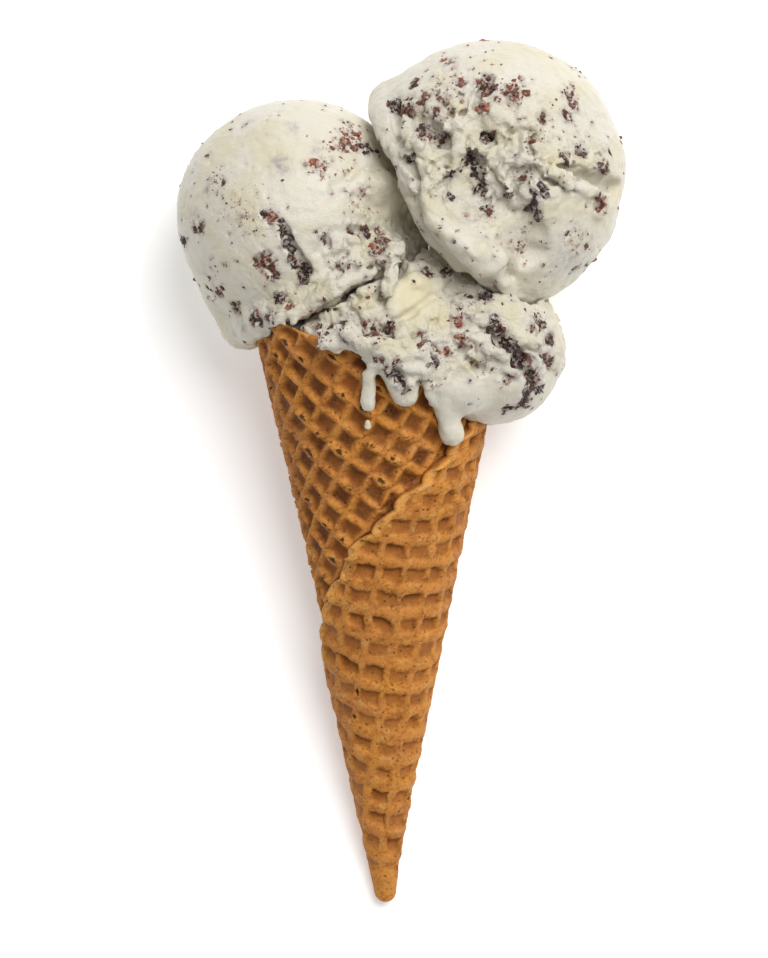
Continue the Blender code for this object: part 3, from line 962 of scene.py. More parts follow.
@dataclass
class Wafer:
    """The rolled waffle cone: one round sheet wrapped once round, its free edge lying over its start.

    NO_SLIT is the slit mark away from burst bubbles, and DRAWN the draws along each side of the pattern.
    """

    NO_SLIT: ClassVar[float] = -3.0
    DRAWN: ClassVar[int] = 64

    cone: Cone
    noise: Noise
    seed: int = 11
    columns: int = 353
    rows: int = 250
    inner_rows: int = 16
    pitch: float = 6.03 * MM
    pattern_turn: float = math.radians(-9.75)
    pattern_phase: tuple[float, float] = (-0.336, 0.334)
    deep_pit: float = 1.35 * MM
    lap_pit: float = 0.74 * MM
    dome_height: float = 0.14 * MM
    bubble_height: float = 0.45 * MM
    slit_depth: float = 0.9 * MM
    rim_bite: float = 0.5 * MM
    rim_round: float = 0.7 * MM
    edge_rise: float = 0.22 * MM
    tucked_drop: float = 0.3 * MM
    noise_turn: float = 6.28
    edge_radius: float = 0.95 * MM
    tuck: float = 0.9 * MM
    lobe: float = 1.9 * MM
    gather: float = 0.42
    lobe_length: float = 5.6 * MM
    cavity_start: float = 27.0 * MM

    def __post_init__(self) -> None:
        """Draws which bubbles have burst."""
        self.draws = np.random.default_rng(self.seed).random((5, self.DRAWN, self.DRAWN))

    def scallop(self, reach: Array) -> Array:
        """How far the lap's free edge stands out past its smooth line.

        Args:
            reach: Distance from the apex.

        Returns:
            The distance along the sheet.
        """
        wave = np.abs(np.sin(math.pi * (reach - 3.0 * MM) / self.lobe_length)) ** 0.7 - 0.55
        along = np.stack([reach, np.zeros_like(reach), np.zeros_like(reach)], axis=-1)
        wander = self.noise.at(along, 4.0 * MM) * 0.7 + self.noise.at(along + 0.3, 11.0 * MM) * 0.9
        return self.lobe * (wave + wander) * smooth(reach, 60.0 * MM, 92.0 * MM)

    def lattice(self, flat_angle: Array, reach: Array) -> tuple[Array, Array]:
        """Places on the waffle pattern.

        Args:
            flat_angle: Angle on the flat sheet.
            reach: Distance from the apex.

        Returns:
            Column and row, where whole numbers are the middles of pits.
        """
        across = reach * np.sin(flat_angle)
        along = reach * np.cos(flat_angle)
        cosine = math.cos(self.pattern_turn)
        sine = math.sin(self.pattern_turn)
        column = (cosine * across + sine * along) / self.pitch - self.pattern_phase[0]
        row = (cosine * along - sine * across) / self.pitch - self.pattern_phase[1]
        return column, row

    def relief(self, flat_angle: Array, reach: Array, turn: Array) -> dict[str, Array]:
        """Relief of the sheet's outer face.

        Args:
            flat_angle: Angle on the flat sheet.
            reach: Distance from the apex.
            turn: Share of the way round the cone.

        Returns:
            The fall below the ridges, and the marks for the finish.
        """
        column, row = self.lattice(flat_angle, reach)
        spot = np.stack([column, row, np.zeros_like(row)], axis=-1) * self.pitch
        deep = smooth(turn, 0.50, 0.70) * smooth(reach, 45.0 * MM, 75.0 * MM)
        wander = 0.09 - 0.04 * deep
        column = column + wander * self.noise.at(spot, 3.7 * MM)
        row = row + wander * self.noise.at(spot + 0.1, 3.7 * MM)
        u = column - np.round(column)
        v = row - np.round(row)
        uneven = self.noise.at(spot + 0.2, 8.0 * MM)
        pits = np.round(column).astype(int) % self.DRAWN, np.round(row).astype(int) % self.DRAWN
        own = self.draws[4][pits]
        swell, slit = self.bubbles(column, row, deep)
        lens = swell * (1.0 - (2.0 * v) ** 2)
        ragged = self.noise.layers(spot + 0.7, 1.7 * MM, 2) * (0.055 - 0.04 * deep)
        rim_u = 0.42 + 0.05 * uneven * (1.0 - deep) + deep * (0.03 - 0.10 * lens) + ragged
        rim_v = 0.34 + 0.11 * deep + 0.05 * uneven * (1.0 - deep) + ragged
        flank = 0.14 + 0.09 * deep
        inward = np.minimum(rim_u - np.abs(u), rim_v - np.abs(v))
        share = np.clip(inward / flank, 0.0, 1.0)
        centre = np.clip(inward / 0.36, 0.0, 1.0)
        soft = smooth(share, 0.0, 1.0)
        pit = soft + deep * (share * (2.0 - share) - soft)
        tilt = 1.0 + (1.0 - deep) * (1.3 * v + 0.1)
        pressed = (0.7 + 0.45 * own) * (1.0 + (1.0 - deep) * (own - 0.5) * 1.2)
        depth = pit * (self.lap_pit + (self.deep_pit - self.lap_pit) * deep) * tilt * pressed
        dome = (1.0 - deep) * self.dome_height * (1.0 - smooth(np.abs(np.abs(v) - 0.5), 0.0, 0.2))
        lip = deep * self.bubble_height * lens * (1.0 - smooth(0.5 - np.abs(u), 0.02, 0.17))
        puff = (0.24 - 0.08 * deep) * MM * self.noise.layers(spot + 0.4, 2.2 * MM, 3, 0.75)
        fall = depth - dome - lip - puff * (1.0 - 0.4 * pit) + self.slit_depth * smooth(slit, -0.3, 0.6)
        # Pit colour mark: partly the browner pit floors, partly painted shade. It is darkest in the middle of
        # deep pits, with a painted shadow along the upper wall of each lap pit.
        colour = pit * (deep * (0.42 + 0.62 * centre) + (1.0 - deep) * np.clip(0.75 + 1.1 * v, 0.2, 1.2))
        return {"fall": fall, "pit": colour, "deep": deep, "slit": slit, "lens": lens * deep * (1.0 - pit)}

    def bubbles(self, column: Array, row: Array, deep: Array) -> tuple[Array, Array]:
        """Bubbles along the ridges, some of them burst.

        Args:
            column: Place on the pattern across these ridges.
            row: Place on the pattern along them.
            deep: Where the pattern is pressed deep.

        Returns:
            How far each ridge swells, and the slits: 1 in the middle, 0 at the edge, less outside.
        """
        between = np.floor(column)
        whole = np.round(row)
        index = (between.astype(int) % self.DRAWN, whole.astype(int) % self.DRAWN)
        chance, length, width, shift = (draws[index] for draws in self.draws[:4])
        burst = chance < 0.08 + 0.46 * deep
        y = np.abs(row - whole + 0.2 * (shift - 0.5)) / (0.12 + 0.22 * length * (0.3 + 0.7 * deep))
        x = np.abs(column - between - 0.5 + 0.04 * (shift - 0.5)) / (0.05 + 0.055 * width)
        slit = np.where(burst, 1.0 - y ** 1.4 - x * (0.6 + 0.6 * y), self.NO_SLIT)
        return np.where(burst, 0.7 + 0.3 * width, 0.45 * length), slit

    def fades(self, reach: Array, turn: Array) -> Array:
        """How much of the relief shows, which runs out at the tip and close to the rim.

        Args:
            reach: Distance from the apex.
            turn: Share of the way round the cone.

        Returns:
            Shares from 0 to 1.
        """
        start = self.cone.tip_reach + 3.0 * MM
        clear_of_tip = np.clip((reach - start) / (10.0 * MM), 0.0, 1.0)
        clear_of_rim = np.clip((self.cone.rim_reach(turn) - reach) / (1.4 * MM), 0.0, 1.0)
        worn = 0.80 + 0.20 * smooth(reach, 35.0 * MM, 95.0 * MM)
        return worn * clear_of_tip * (0.25 + 0.75 * clear_of_rim)

    def blocked(self, points: Points) -> Array:
        """Distance to the wafer's wall, pits and all, for trimming what touches it.

        Args:
            points: Rows of x, y, z.

        Returns:
            The distance at each point, negative in the wall.
        """
        cone = self.cone
        lift, reach, flat_angle, turn = cone.unroll(points)
        height = lift - cone.lap_top + cone.lap_step * turn
        wall = np.maximum(np.maximum(height, -cone.inner_wall - lift), reach - cone.rim_reach(turn))
        close = (wall < 2.0 * MM) & (height > -2.0 * MM)
        flat_angle, reach, turn, lift = (part[close] for part in (flat_angle, reach, turn, lift))
        height = height[close] + self.relief(flat_angle, reach, turn)["fall"] * self.fades(reach, turn)
        wall[close] = np.maximum(np.maximum(height, -cone.inner_wall - lift), reach - cone.rim_reach(turn))
        return wall

    def outside(self) -> tuple[Points, dict[str, Array]]:
        """Rows of points of the outer face from the tip to the rim, each a closed ring.

        Returns:
            The points, rows first, and the marks at each.
        """
        cone = self.cone
        side_start = self.side_start()
        share = np.linspace(0.0, 1.0, self.rows)[:, None]
        step = self.shares(cone.lap_edge(side_start + (cone.rim_reach(0.0) - side_start) * share))
        rim = cone.rim_reach(step)
        about = step * self.noise_turn
        rough = np.stack([rim * np.cos(about), rim * np.sin(about), np.zeros_like(rim)], axis=-1)
        rim = rim - self.rim_bite * np.abs(self.noise.layers(rough, 3.0 * MM, 2))
        reach = side_start + (rim - side_start) * share
        start = cone.lap_edge(reach) + (self.edge_radius - self.scallop(reach)) / reach
        end = cone.lap_edge(reach) + cone.wrap + (self.tuck - self.scallop(reach)) / reach
        flat_angle = start + (end - start) * step
        turn = (flat_angle - cone.lap_edge(reach)) / cone.wrap
        relief = self.relief(flat_angle, reach, turn)
        clear = self.fades(reach, turn)
        tucked = 1.0 - smooth((1.0 - step) * 2 * math.pi * reach * math.sin(cone.half_angle), 0.0, 2.2 * MM)
        fall = relief["fall"] * clear * (1.0 - tucked)
        lift = cone.lap_top - cone.lap_step * turn - fall - self.tucked_drop * tucked
        rounding = np.clip(1.0 - (rim - reach) / (0.9 * MM), 0.0, 1.0)
        lift = lift - self.rim_round * (1.0 - np.sqrt(1.0 - 0.98 * rounding ** 2))
        lift = lift * (0.35 + 0.65 * np.clip((reach - side_start) / (10.0 * MM), 0.0, 1.0))
        # Painted highlight: the edge mark lightens the sheet next to the lap's edge, the rounded rim and the
        # bubble lips.
        edge_near = 1.0 - smooth(step * 2 * math.pi * reach * math.sin(cone.half_angle), 0.3 * MM, 2.6 * MM)
        lift = lift + self.edge_rise * edge_near
        # Painted shadow: the sheet tucked under the lap's edge takes the darkest pit colour.
        marks = {"pit": np.maximum(relief["pit"] * clear * (1.0 - 0.8 * edge_near), 1.2 * tucked),
                 "deep": np.maximum(relief["deep"], tucked),
                 "slit": np.where(tucked > 0.5, self.NO_SLIT, relief["slit"]),
                 "edge": np.maximum(np.maximum(edge_near, 0.8 * rounding), 0.8 * relief["lens"])}
        points = cone.place(flat_angle / cone.wrap * 2 * math.pi, reach, lift)
        rolled, rolled_marks = self.rolled_edge(reach[:, :1], lift[:, :1], lift[:, -1:])
        points = np.concatenate([points, rolled], axis=1)
        marks = {name: np.concatenate([mark, rolled_marks[name]], axis=1) for name, mark in marks.items()}
        return points, marks

    def shares(self, flat_start: Array) -> Array:
        """Shares of the way round the cone for every column, closer together on the upper side.

        Args:
            flat_start: Flat angle at which the sheet starts, one for each row.

        Returns:
            Values from 0 to 1, rows first.
        """
        start = flat_start / self.cone.wrap * 2.0 * math.pi
        turns = np.linspace(-4.0 * math.pi, 6.0 * math.pi, 5001)
        first = start + self.gather * np.sin(start)
        place = first + 2.0 * math.pi * np.linspace(0.0, 1.0, self.columns)
        return (np.interp(place, turns + self.gather * np.sin(turns), turns) - start) / (2.0 * math.pi)

    def side_start(self) -> float:
        """Distance from the apex to where the rounded tip meets the straight side.

        Returns:
            The distance down the side.
        """
        sine = math.sin(self.cone.half_angle)
        pole_reach = self.cone.tip_reach / math.cos(self.cone.half_angle)
        return (pole_reach + pole_reach * sine / (1.0 - sine)) * math.cos(self.cone.half_angle)

    def rolled_edge(self, reach: Array, top: Array,
                    below: Array) -> tuple[Points, dict[str, Array]]:
        """The lap's free edge, from the sheet under it out and round to its top.

        Args:
            reach: Distances from the apex, one for each row.
            top: Lift of the lap next to its edge.
            below: Lift of the sheet under the edge.

        Returns:
            The points, rows first, and their marks.
        """
        cone = self.cone
        fade = np.clip((reach - self.side_start()) / (20.0 * MM), 0.05, 1.0)
        radius = self.edge_radius * fade
        edge = cone.lap_edge(reach) - self.scallop(reach) / reach
        columns = []
        marks = []
        for turn in np.radians([-90.0, -60.0, -30.0, 0.0, 25.0, 50.0, 72.0]):
            inward = radius * (1.0 - math.cos(turn))
            if turn <= -math.pi / 2:
                inward = np.full_like(reach, self.tuck * 0.9) * fade
            lift = np.maximum(top - radius + radius * math.sin(turn), below + 0.05 * MM)
            angle = (edge + inward / reach) / cone.wrap * 2 * math.pi
            columns.append(cone.place(angle, reach, lift))
            # Painted highlight: the rolled edge is lighter on its upper half, which faces the light.
            marks.append(np.full_like(reach, 0.15 + 0.85 * max(math.sin(turn), 0.0)))
        nothing = np.zeros((len(reach), len(columns)))
        return np.concatenate(columns, axis=1), {
            "pit": nothing, "deep": nothing, "slit": nothing + self.NO_SLIT,
            "edge": np.concatenate(marks, axis=1)}

    def tip_rows(self, first: Points) -> Points:
        """Rings of points that close the rounded tip below the first row of the side.

        Args:
            first: Points of the first row.

        Returns:
            The rings, from the pole outwards.
        """
        cone = self.cone
        sine = math.sin(cone.half_angle)
        pole_reach = cone.tip_reach / math.cos(cone.half_angle)
        radius = pole_reach * sine / (1.0 - sine)
        centre = cone.apex + cone.axis * (pole_reach + radius)
        outward = first - centre
        outward -= (outward @ cone.axis)[:, None] * cone.axis
        outward /= np.linalg.norm(outward, axis=1)[:, None]
        rings = []
        reach = np.linalg.norm(first - centre, axis=1)
        for dip in np.linspace(math.pi / 2, cone.half_angle, 12)[1:-1]:
            share = (math.pi / 2 - dip) / (math.pi / 2 - cone.half_angle)
            size = radius + (reach - radius) * share
            rings.append(centre + size[:, None] * (math.cos(dip) * outward - math.sin(dip) * cone.axis))
        return np.array(rings)

    def build(self) -> Skin:
        """Makes the whole wafer: rounded tip, outer face, lap, rim and cavity.

        Returns:
            One closed skin.
        """
        cone = self.cone
        outside, marks = self.outside()
        tip = self.tip_rows(outside[0])
        width = outside.shape[1]
        seam = math.radians(6.0)
        flat_start = cone.lap_edge(np.array([[cone.rim_reach(0.0)]]))
        first = flat_start[0, 0] / cone.wrap * 2 * math.pi
        step = self.shares(flat_start)[0]
        across = np.arange(1, width - self.columns + 1) / (width - self.columns + 1)
        angles = np.concatenate([first + (2 * math.pi - seam) * step, first - seam + seam * across])
        turns = np.concatenate([step, np.zeros(width - self.columns)])
        rim = cone.rim_reach(turns) - 0.7 * MM
        inside = []
        for share in np.linspace(0.0, 1.0, self.inner_rows):
            reach = rim + (self.cavity_start - rim) * share
            inside.append(cone.place(angles, reach, np.full_like(reach, -cone.inner_wall)))
        rows = np.concatenate([tip, outside, np.array(inside)])
        count = len(rows)
        here = np.arange(count - 1)[:, None] * width + np.arange(width)[None, :]
        ahead = np.arange(count - 1)[:, None] * width + (np.arange(width)[None, :] + 1) % width
        quads = np.stack([here, ahead, ahead + width, here + width], axis=-1).reshape(-1, 4)
        points = rows.reshape(-1, 3)
        values = {}
        for name, mark in marks.items():
            plain = self.NO_SLIT if name == "slit" else 0.0
            before = np.full((len(tip), width), plain)
            after = np.full((len(inside), width), plain)
            values[name] = np.concatenate([before, mark, after]).ravel()
        return self.close_ends(points, quads, values, width, count)

    def close_ends(self, points: Points, quads: Array, values: dict[str, Array], width: int,
                   count: int) -> Skin:
        """Adds the two poles, with fans of faces drawn as quads that share a point with the next.

        Args:
            points: Points of all rings.
            quads: Faces between the rings.
            values: Marks at the points.
            width: Points in a ring.
            count: Number of rings.

        Returns:
            The closed skin.
        """
        cone = self.cone
        pole = cone.apex + cone.axis * (cone.tip_reach / math.cos(cone.half_angle))
        bottom = cone.apex + cone.axis * (self.cavity_start * math.cos(cone.half_angle) - MM)
        first, last = len(points), len(points) + 1
        points = np.concatenate([points, pole[None], bottom[None]])
        ring = np.arange(0, width - 1, 2)
        end = (count - 1) * width
        fans = [np.stack([np.full_like(ring, first), (ring + 2) % width, ring + 1, ring], axis=1),
                np.stack([np.full_like(ring, last), end + ring, end + ring + 1, end + (ring + 2) % width],
                         axis=1)]
        points = np.clip(points, np.array(CAD_BOX[0]), np.array(CAD_BOX[1]))
        values = {name: np.append(mark, [mark[0], mark[-1]]) for name, mark in values.items()}
        return Skin(points, np.concatenate([quads, *fans]), values)


class ChipKind(Enum):
    """Kinds of chocolate in the ice cream."""

    CHUNK = ("chunks", (1.2, 0.85, 0.6), 0.24)
    SHARD = ("shards", (1.25, 0.75, 0.42), 0.24)
    CRUMB = ("crumbs", (1.15, 0.75, 0.6), 0.17)

    def __init__(self, plural: str, sizes: Three, sink: float) -> None:
        """Keeps what all chips of the kind share.

        Args:
            plural: Name of many such chips.
            sizes: Width, length and thickness against a chip's size.
            sink: How far a chip's middle lies in the cream, against its size.
        """
        self.plural = plural
        self.sizes = sizes
        self.sink = sink


@dataclass
class Chip:
    """One piece of chocolate: where its middle is, which way is out, and how large it is."""

    kind: ChipKind
    place: Array
    out: Array
    size: float
    tone: float


@dataclass
class Patch:
    """A cluster of chips on the upper face of a scoop, placed in plan in millimetres."""

    x: float
    y: float
    spread: float
    shards: int = 0
    crumbs: int = 0
    size: float = 1.0
    tone: float = 0.5


@dataclass
class Groove:
    """A run of stations in plan, each x, y, radius and lift over the upper face, in millimetres."""

    stations: tuple[Four, ...]
    blend: float = 0.8
    cut: bool = False
    crumbs: int = 0


@dataclass
class Scoop:
    """One scoop of ice cream: a smooth body, worked over with folds, strands, pits and chips."""

    node: str
    piece: str
    seed: int
    low: Three
    high: Three
    step: float = 0.42 * MM
    gap: float = 0.5 * MM
    wave: float = 0.4 * MM
    fold_depth: float = 1.4 * MM
    ledge_height: float = 1.1 * MM
    pit_depth: float = 0.42 * MM
    scatter: int = 150
    chunk_pieces: int = 4
    strewn_from: float = -1.0
    patches: tuple[tuple[float, ...], ...] = ()
    runs: tuple[Groove, ...] = ()
    # Stain spots, x, y, radius and strength: real stains, and painted shade where they lie on shaded sides.
    stains_and_shade: tuple[Four, ...] = ()
    # Yellow tint spots, x, y, radius and strength: partly the cream's own tint, partly painted shade.
    yellow_tint_and_shade: tuple[Four, ...] = ()
    chunks: tuple[Four, ...] = ()

    def __post_init__(self) -> None:
        """Sets out the sample box and the noise."""
        self.noise = Noise(self.seed)
        self.random = np.random.default_rng(self.seed + 100)
        self.block = Block(np.array(self.low) * MM, np.array(self.high) * MM, self.step)
        self.chips: list[Chip] = []

    def body(self, points: Points) -> Array:
        """Distance to the smooth body."""
        raise NotImplementedError

    def roughness(self, points: Points) -> Array:
        """How torn the surface is, from 0 where it is smooth to 1."""
        raise NotImplementedError

    def trim(self, values: Array, points: Points) -> Array:
        """The distance once what other pieces fill is cut away."""
        return values

    def warp(self, points: Points) -> Points:
        """The points moved a little, so that what is measured from them turns out hand-made."""
        shift = np.stack([self.noise.at(points + offset, 3.5 * MM) for offset in (0.0, 0.05, 0.11)], axis=-1)
        return points + 0.7 * MM * shift

    def ruffle(self) -> None:
        """Works the surface over: gentle waves, and folds and ledges where it is torn."""
        mask, points = self.block.near(3.2 * MM)
        values = self.block.values[mask].astype(float)
        rough = self.roughness(points)
        values += self.wave * self.noise.at(points, 11.0 * MM)
        values += rough * self.fold_depth * (0.6 - self.noise.folds(points, 4.4 * MM, 3))
        ledge = self.noise.layers(points + 0.21, 5.5 * MM, 2)
        values += rough * self.ledge_height * (smooth(ledge, -0.07, 0.05) - 0.5)
        self.block.values[mask] = values

    def crumble(self) -> None:
        """Breaks the surface up: crumbs where it is torn, small pits elsewhere and a fine scrape."""
        mask, points = self.block.near(2.2 * MM)
        values = self.block.values[mask].astype(float)
        rough = self.roughness(points)
        torn = rough > 0.15
        share = rough[torn] * smooth(self.noise.at(points[torn] + 0.5, 6.0 * MM), -0.7, 0.2)
        warped = points[torn] + 0.6 * MM * self.noise.at(points[torn], 1.8 * MM)[:, None]
        for shift, size, height in ((0.0, 3.0 * MM, 2.3 * MM), (0.3, 1.5 * MM, 1.2 * MM)):
            values[torn] += share * height * (self.noise.crumbs(warped + shift, size) - 0.50)
        pits = 1.0 - smooth(self.noise.crumbs(points + 0.7, 2.6 * MM), 0.08, 0.28)
        values += self.pit_depth * pits * smooth(self.noise.at(points + 0.9, 7.0 * MM), -0.25, 0.25)
        values += (0.12 + 0.3 * rough) * MM * self.noise.layers(points + 0.33, 1.4 * MM, 2, 0.7)
        self.block.values[mask] = values

    def carve_runs(self) -> None:
        """Adds the strands and cuts the grooves that are listed in the runs."""
        for run in self.runs:
            for start, end in zip(run.stations, run.stations[1:] or run.stations):
                ends = (self.block.on_top(*start[:2], start[3]), self.block.on_top(*end[:2], end[3]))
                self.block.stamp(ends, (start[2] * MM, end[2] * MM), run.blend * MM, run.cut, self.warp)
                for _ in range(run.crumbs):
                    share = self.random.random()
                    radius = self.random.uniform(0.35, 1.0) * MM
                    about = (start[2] + (end[2] - start[2]) * share) * MM * unit(self.random.normal(size=3))
                    middle = ends[0] + (ends[1] - ends[0]) * share + about * np.array([1.0, 1.0, 0.6])
                    self.block.stamp((middle, middle), (radius, radius), 0.3 * MM)

    def choose_chips(self) -> None:
        """Draws the place, kind and size of every chip, cuts its pit and tints the cream round it."""
        surface = self.block.skin().points
        surface = surface[surface[:, 2] > 1.0 * MM]
        normals = self.block.normals(surface)
        facing_up = normals[:, 2] > 0.05
        upward = surface[facing_up]
        upward_normals = normals[facing_up]
        for row in self.patches:
            self.lay_patch(Patch(*row), upward, upward_normals)
        for chunk in self.chunks:
            self.break_chunk(chunk, upward, upward_normals)
        self.scatter_chips(surface, normals)
        for chip in self.chips:
            self.seat(chip)

    def lay_patch(self, patch: Patch, upward: Points, normals: Points) -> None:
        """Draws the chips of a patch, most of them near its middle, and tints the cream there.

        Args:
            patch: The patch.
            upward: Points of the skin that face up.
            normals: Directions out of the food there.
        """
        spread = max(patch.spread, 0.8)
        away = np.linalg.norm(upward[:, :2] - np.array([patch.x, patch.y]) * MM, axis=1)
        near = np.exp(-0.5 * (away / (0.55 * spread * MM)) ** 2)
        near[away > 1.5 * spread * MM] = 0.0
        if near.sum() <= 0.0:
            near[away.argmin()] = 1.0
        self.block.spot("blush", upward[away.argmin()], (1.5 * patch.spread + 1.6) * MM, 0.6)
        counts = {ChipKind.SHARD: round(1.7 * patch.shards), ChipKind.CRUMB: round(2.2 * patch.crumbs)}
        for kind, count in counts.items():
            for index in self.random.choice(len(upward), count, p=near / near.sum()):
                size = self.draw_size(kind) * patch.size
                tone = float(np.clip(patch.tone + self.random.normal(0.0, 0.18), 0.0, 1.0))
                self.chips.append(Chip(kind, upward[index], normals[index], size, tone))

    def break_chunk(self, chunk: Four, upward: Points, normals: Points) -> None:
        """Breaks a large piece of chocolate into a few that lie together.

        Args:
            chunk: Place in plan and size, in millimetres, and tone.
            upward: Points of the skin that face up.
            normals: Directions out of the food there.
        """
        x, y, size, tone = chunk
        for _ in range(self.chunk_pieces):
            spot = np.array([x, y]) + self.random.normal(0.0, 0.26 * size, 2)
            index = np.linalg.norm(upward[:, :2] - spot * MM, axis=1).argmin()
            own = size * float(self.random.uniform(0.5, 0.85)) * MM
            shade = float(np.clip(tone + self.random.normal(0.0, 0.12), 0.0, 1.0))
            self.chips.append(Chip(ChipKind.CHUNK, upward[index], normals[index], own, shade))

    def scatter_chips(self, surface: Points, normals: Points) -> None:
        """Strews chips in loose drifts over the sides and the back, and a few crumbs over the rest.

        Args:
            surface: Points of the skin.
            normals: Directions out of the food there.
        """
        drift = self.noise.at(surface + 0.5, 9.0 * MM) - 9.0 * (surface[:, 1] < self.strewn_from)
        aside = np.flatnonzero(drift + 0.15 - 2.0 * (normals[:, 2] > 0.35) > 0.0)
        above = np.flatnonzero((drift > -0.1) & (normals[:, 2] > 0.35))
        places = [*self.random.choice(aside, self.scatter), *self.random.choice(above, self.scatter // 2)]
        for count, index in enumerate(places):
            shard = count < self.scatter and self.random.random() < 0.3
            kind = ChipKind.SHARD if shard else ChipKind.CRUMB
            tone = float(self.random.uniform(0.0, 1.0))
            self.chips.append(Chip(kind, surface[index], normals[index], self.draw_size(kind), tone))

    def draw_size(self, kind: ChipKind) -> float:
        """Draws a width for a chip.

        Args:
            kind: The chip's kind.

        Returns:
            The width.
        """
        least, most = (1.1, 2.5) if kind is ChipKind.SHARD else (0.45, 1.05)
        return float(self.random.uniform(least, most)) * MM

    def seat(self, chip: Chip) -> None:
        """Cuts a shallow pit for a chip, sinks the chip into it and tints the cream round it.

        Args:
            chip: The chip, which is moved.
        """
        if chip.kind is not ChipKind.CRUMB:
            middle = chip.place + 0.2 * chip.size * chip.out
            self.block.stamp((middle, middle), (0.46 * chip.size, 0.46 * chip.size), 0.25 * MM, True)
        chip.place = chip.place - chip.kind.sink * chip.size * chip.out
        self.block.spot("blush", chip.place, 0.9 * chip.size + 0.7 * MM, 0.9)
        if self.random.random() < 0.3:
            self.block.spot("stain_and_shade", chip.place, 1.6 * chip.size + 1.0 * MM, 0.6)

    def build(self) -> bpy.types.Object:
        """Makes the scoop's mesh, standing for its node.

        Returns:
            The new object.
        """
        self.block.fill(self.body)
        self.ruffle()
        self.block.measure_heights()
        self.carve_runs()
        self.crumble()
        self.choose_chips()
        # Stain spots are real stains and painted shade. Yellow tint spots are partly the cream's tint and
        # partly painted shade.
        for name, spots in (("stain_and_shade", self.stains_and_shade), ("yellow_tint_and_shade", self.yellow_tint_and_shade)):
            for x, y, radius, strength in spots:
                self.block.spot(name, self.block.on_top(x, y), radius * MM, strength)
        mask = self.block.values < 1.5 * MM
        points = self.block.low + self.step * np.argwhere(mask)
        self.block.values[mask] = self.trim(self.block.values[mask], points)
        self.block.soften(0.08)
        self.block.limit(np.array(CAD_BOX[0]), np.array(CAD_BOX[1]))
        self.block.fill_pinches()
        skin = self.block.skin().largest()
        skin.points[skin.points[:, 2] < 0.25 * self.step, 2] = 0.0
        skin.marks["rough"] = self.roughness(skin.points)
        for name, layer in self.block.layers.items():
            skin.marks[name] = self.block.read(layer, skin.points)
        skin.points = np.clip(skin.points, np.array(CAD_BOX[0]), np.array(CAD_BOX[1]))
        made = skin.to_object(self.piece)
        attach(made, "root")
        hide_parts(self.node)
        REPORT.info("%s: %d points, %d faces, %d chips", self.piece, len(skin.points), len(skin.quads),
                    len(self.chips))
        return made


@dataclass
class RightScoop(Scoop):
    """The scoop that leans right: ball on a drum, lip, fold and drip, broken out on top."""

    centre: Three = (19.7, 68.4, 29.5)
    radius: float = 30.0 * MM
    axis: Three = (0.785, 0.568, 0.250)
    depth: float = 11.0 * MM
    drum_radius: float = 28.5 * MM
    lip: Three = (26.6 * MM, 3.2 * MM, 2.4 * MM)
    corner: Three = (26.2 * MM, 3.4 * MM, 5.2 * MM)
    basin: Four = (16.5, 70.5, 85.0, 30.6)
    brim: tuple[Three, ...] = (
        (1.6, 65.0, 50.0), (3.5, 61.4, 51.0), (5.2, 58.2, 51.0), (7.4, 54.2, 50.0), (12.6, 49.0, 48.0))
    brim_radius: float = 3.2 * MM

    def body(self, points: Points) -> Array:
        """Distance to the smooth body.

        Args:
            points: Rows of x, y, z.

        Returns:
            The distance at each point, negative inside.
        """
        centre = np.array(self.centre) * MM
        axis = unit(np.array(self.axis))
        base = centre - axis * self.depth
        level = unit(np.cross(axis, [0.0, 0.0, 1.0]))
        up = unit(np.cross(level, axis))
        lip_radius, lip_half, lip_height = self.lip

        def on_lip(turn: float, height: float) -> Array:
            """A point on the lip's middle line, a height above the base."""
            return base + lip_radius * (level * math.cos(turn) + up * math.sin(turn)) + axis * height

        points = points + 0.5 * MM * (self.noise.at(points, 9.0 * MM)[..., None] * unit(np.ones(3)))
        dome = np.maximum(ball(points, centre, self.radius), (base - points) @ axis)
        shape = merge(drum(points, base, axis, self.depth, self.drum_radius), dome, 3.0 * MM)
        *middle, size = self.basin
        shape = carve(shape, ball(points, np.array(middle) * MM, size * MM), 2.5 * MM)
        shape = merge(shape, ring(points, base + axis * lip_height, axis, lip_radius, lip_half), 1.5 * MM)
        for start, end in zip(self.brim, self.brim[1:]):
            brim = rod(points, np.array(start) * MM, np.array(end) * MM, self.brim_radius, self.brim_radius)
            shape = merge(shape, brim, 1.0 * MM)
        fold = on_lip(math.radians(84.0), 1.5 * MM), on_lip(math.radians(55.0), 4.2 * MM)
        shape = merge(shape, rod(points, *fold, 3.6 * MM, 5.4 * MM), 1.5 * MM)
        turn = math.radians(15.0)
        drip = on_lip(turn, 0.0), on_lip(turn, -3.0 * MM)
        shape = merge(shape, rod(points, *drip, 2.2 * MM, 1.5 * MM), 1.5 * MM)
        across, height, radius = self.corner
        return merge(shape, ball(points, base - level * across + axis * height, radius), 2.0 * MM)

    def roughness(self, points: Points) -> Array:
        """How torn the surface is: most in the broken middle, least low on the right.

        Args:
            points: Rows of x, y, z.

        Returns:
            From 0 where it is smooth to about 1 where it is torn.
        """
        away = np.hypot((points[..., 0] - 15.0 * MM) / 1.15, points[..., 1] - 71.0 * MM)
        torn = 1.0 - smooth(away, 9.0 * MM, 19.0 * MM)
        across = np.hypot((points[..., 0] - 33.0 * MM) / 1.3, points[..., 1] - 73.0 * MM)
        torn = np.maximum(torn, 0.55 * (1.0 - smooth(across, 6.0 * MM, 17.0 * MM)))
        return 0.12 + 1.0 * torn * smooth(points[..., 2], 30.0 * MM, 46.0 * MM)


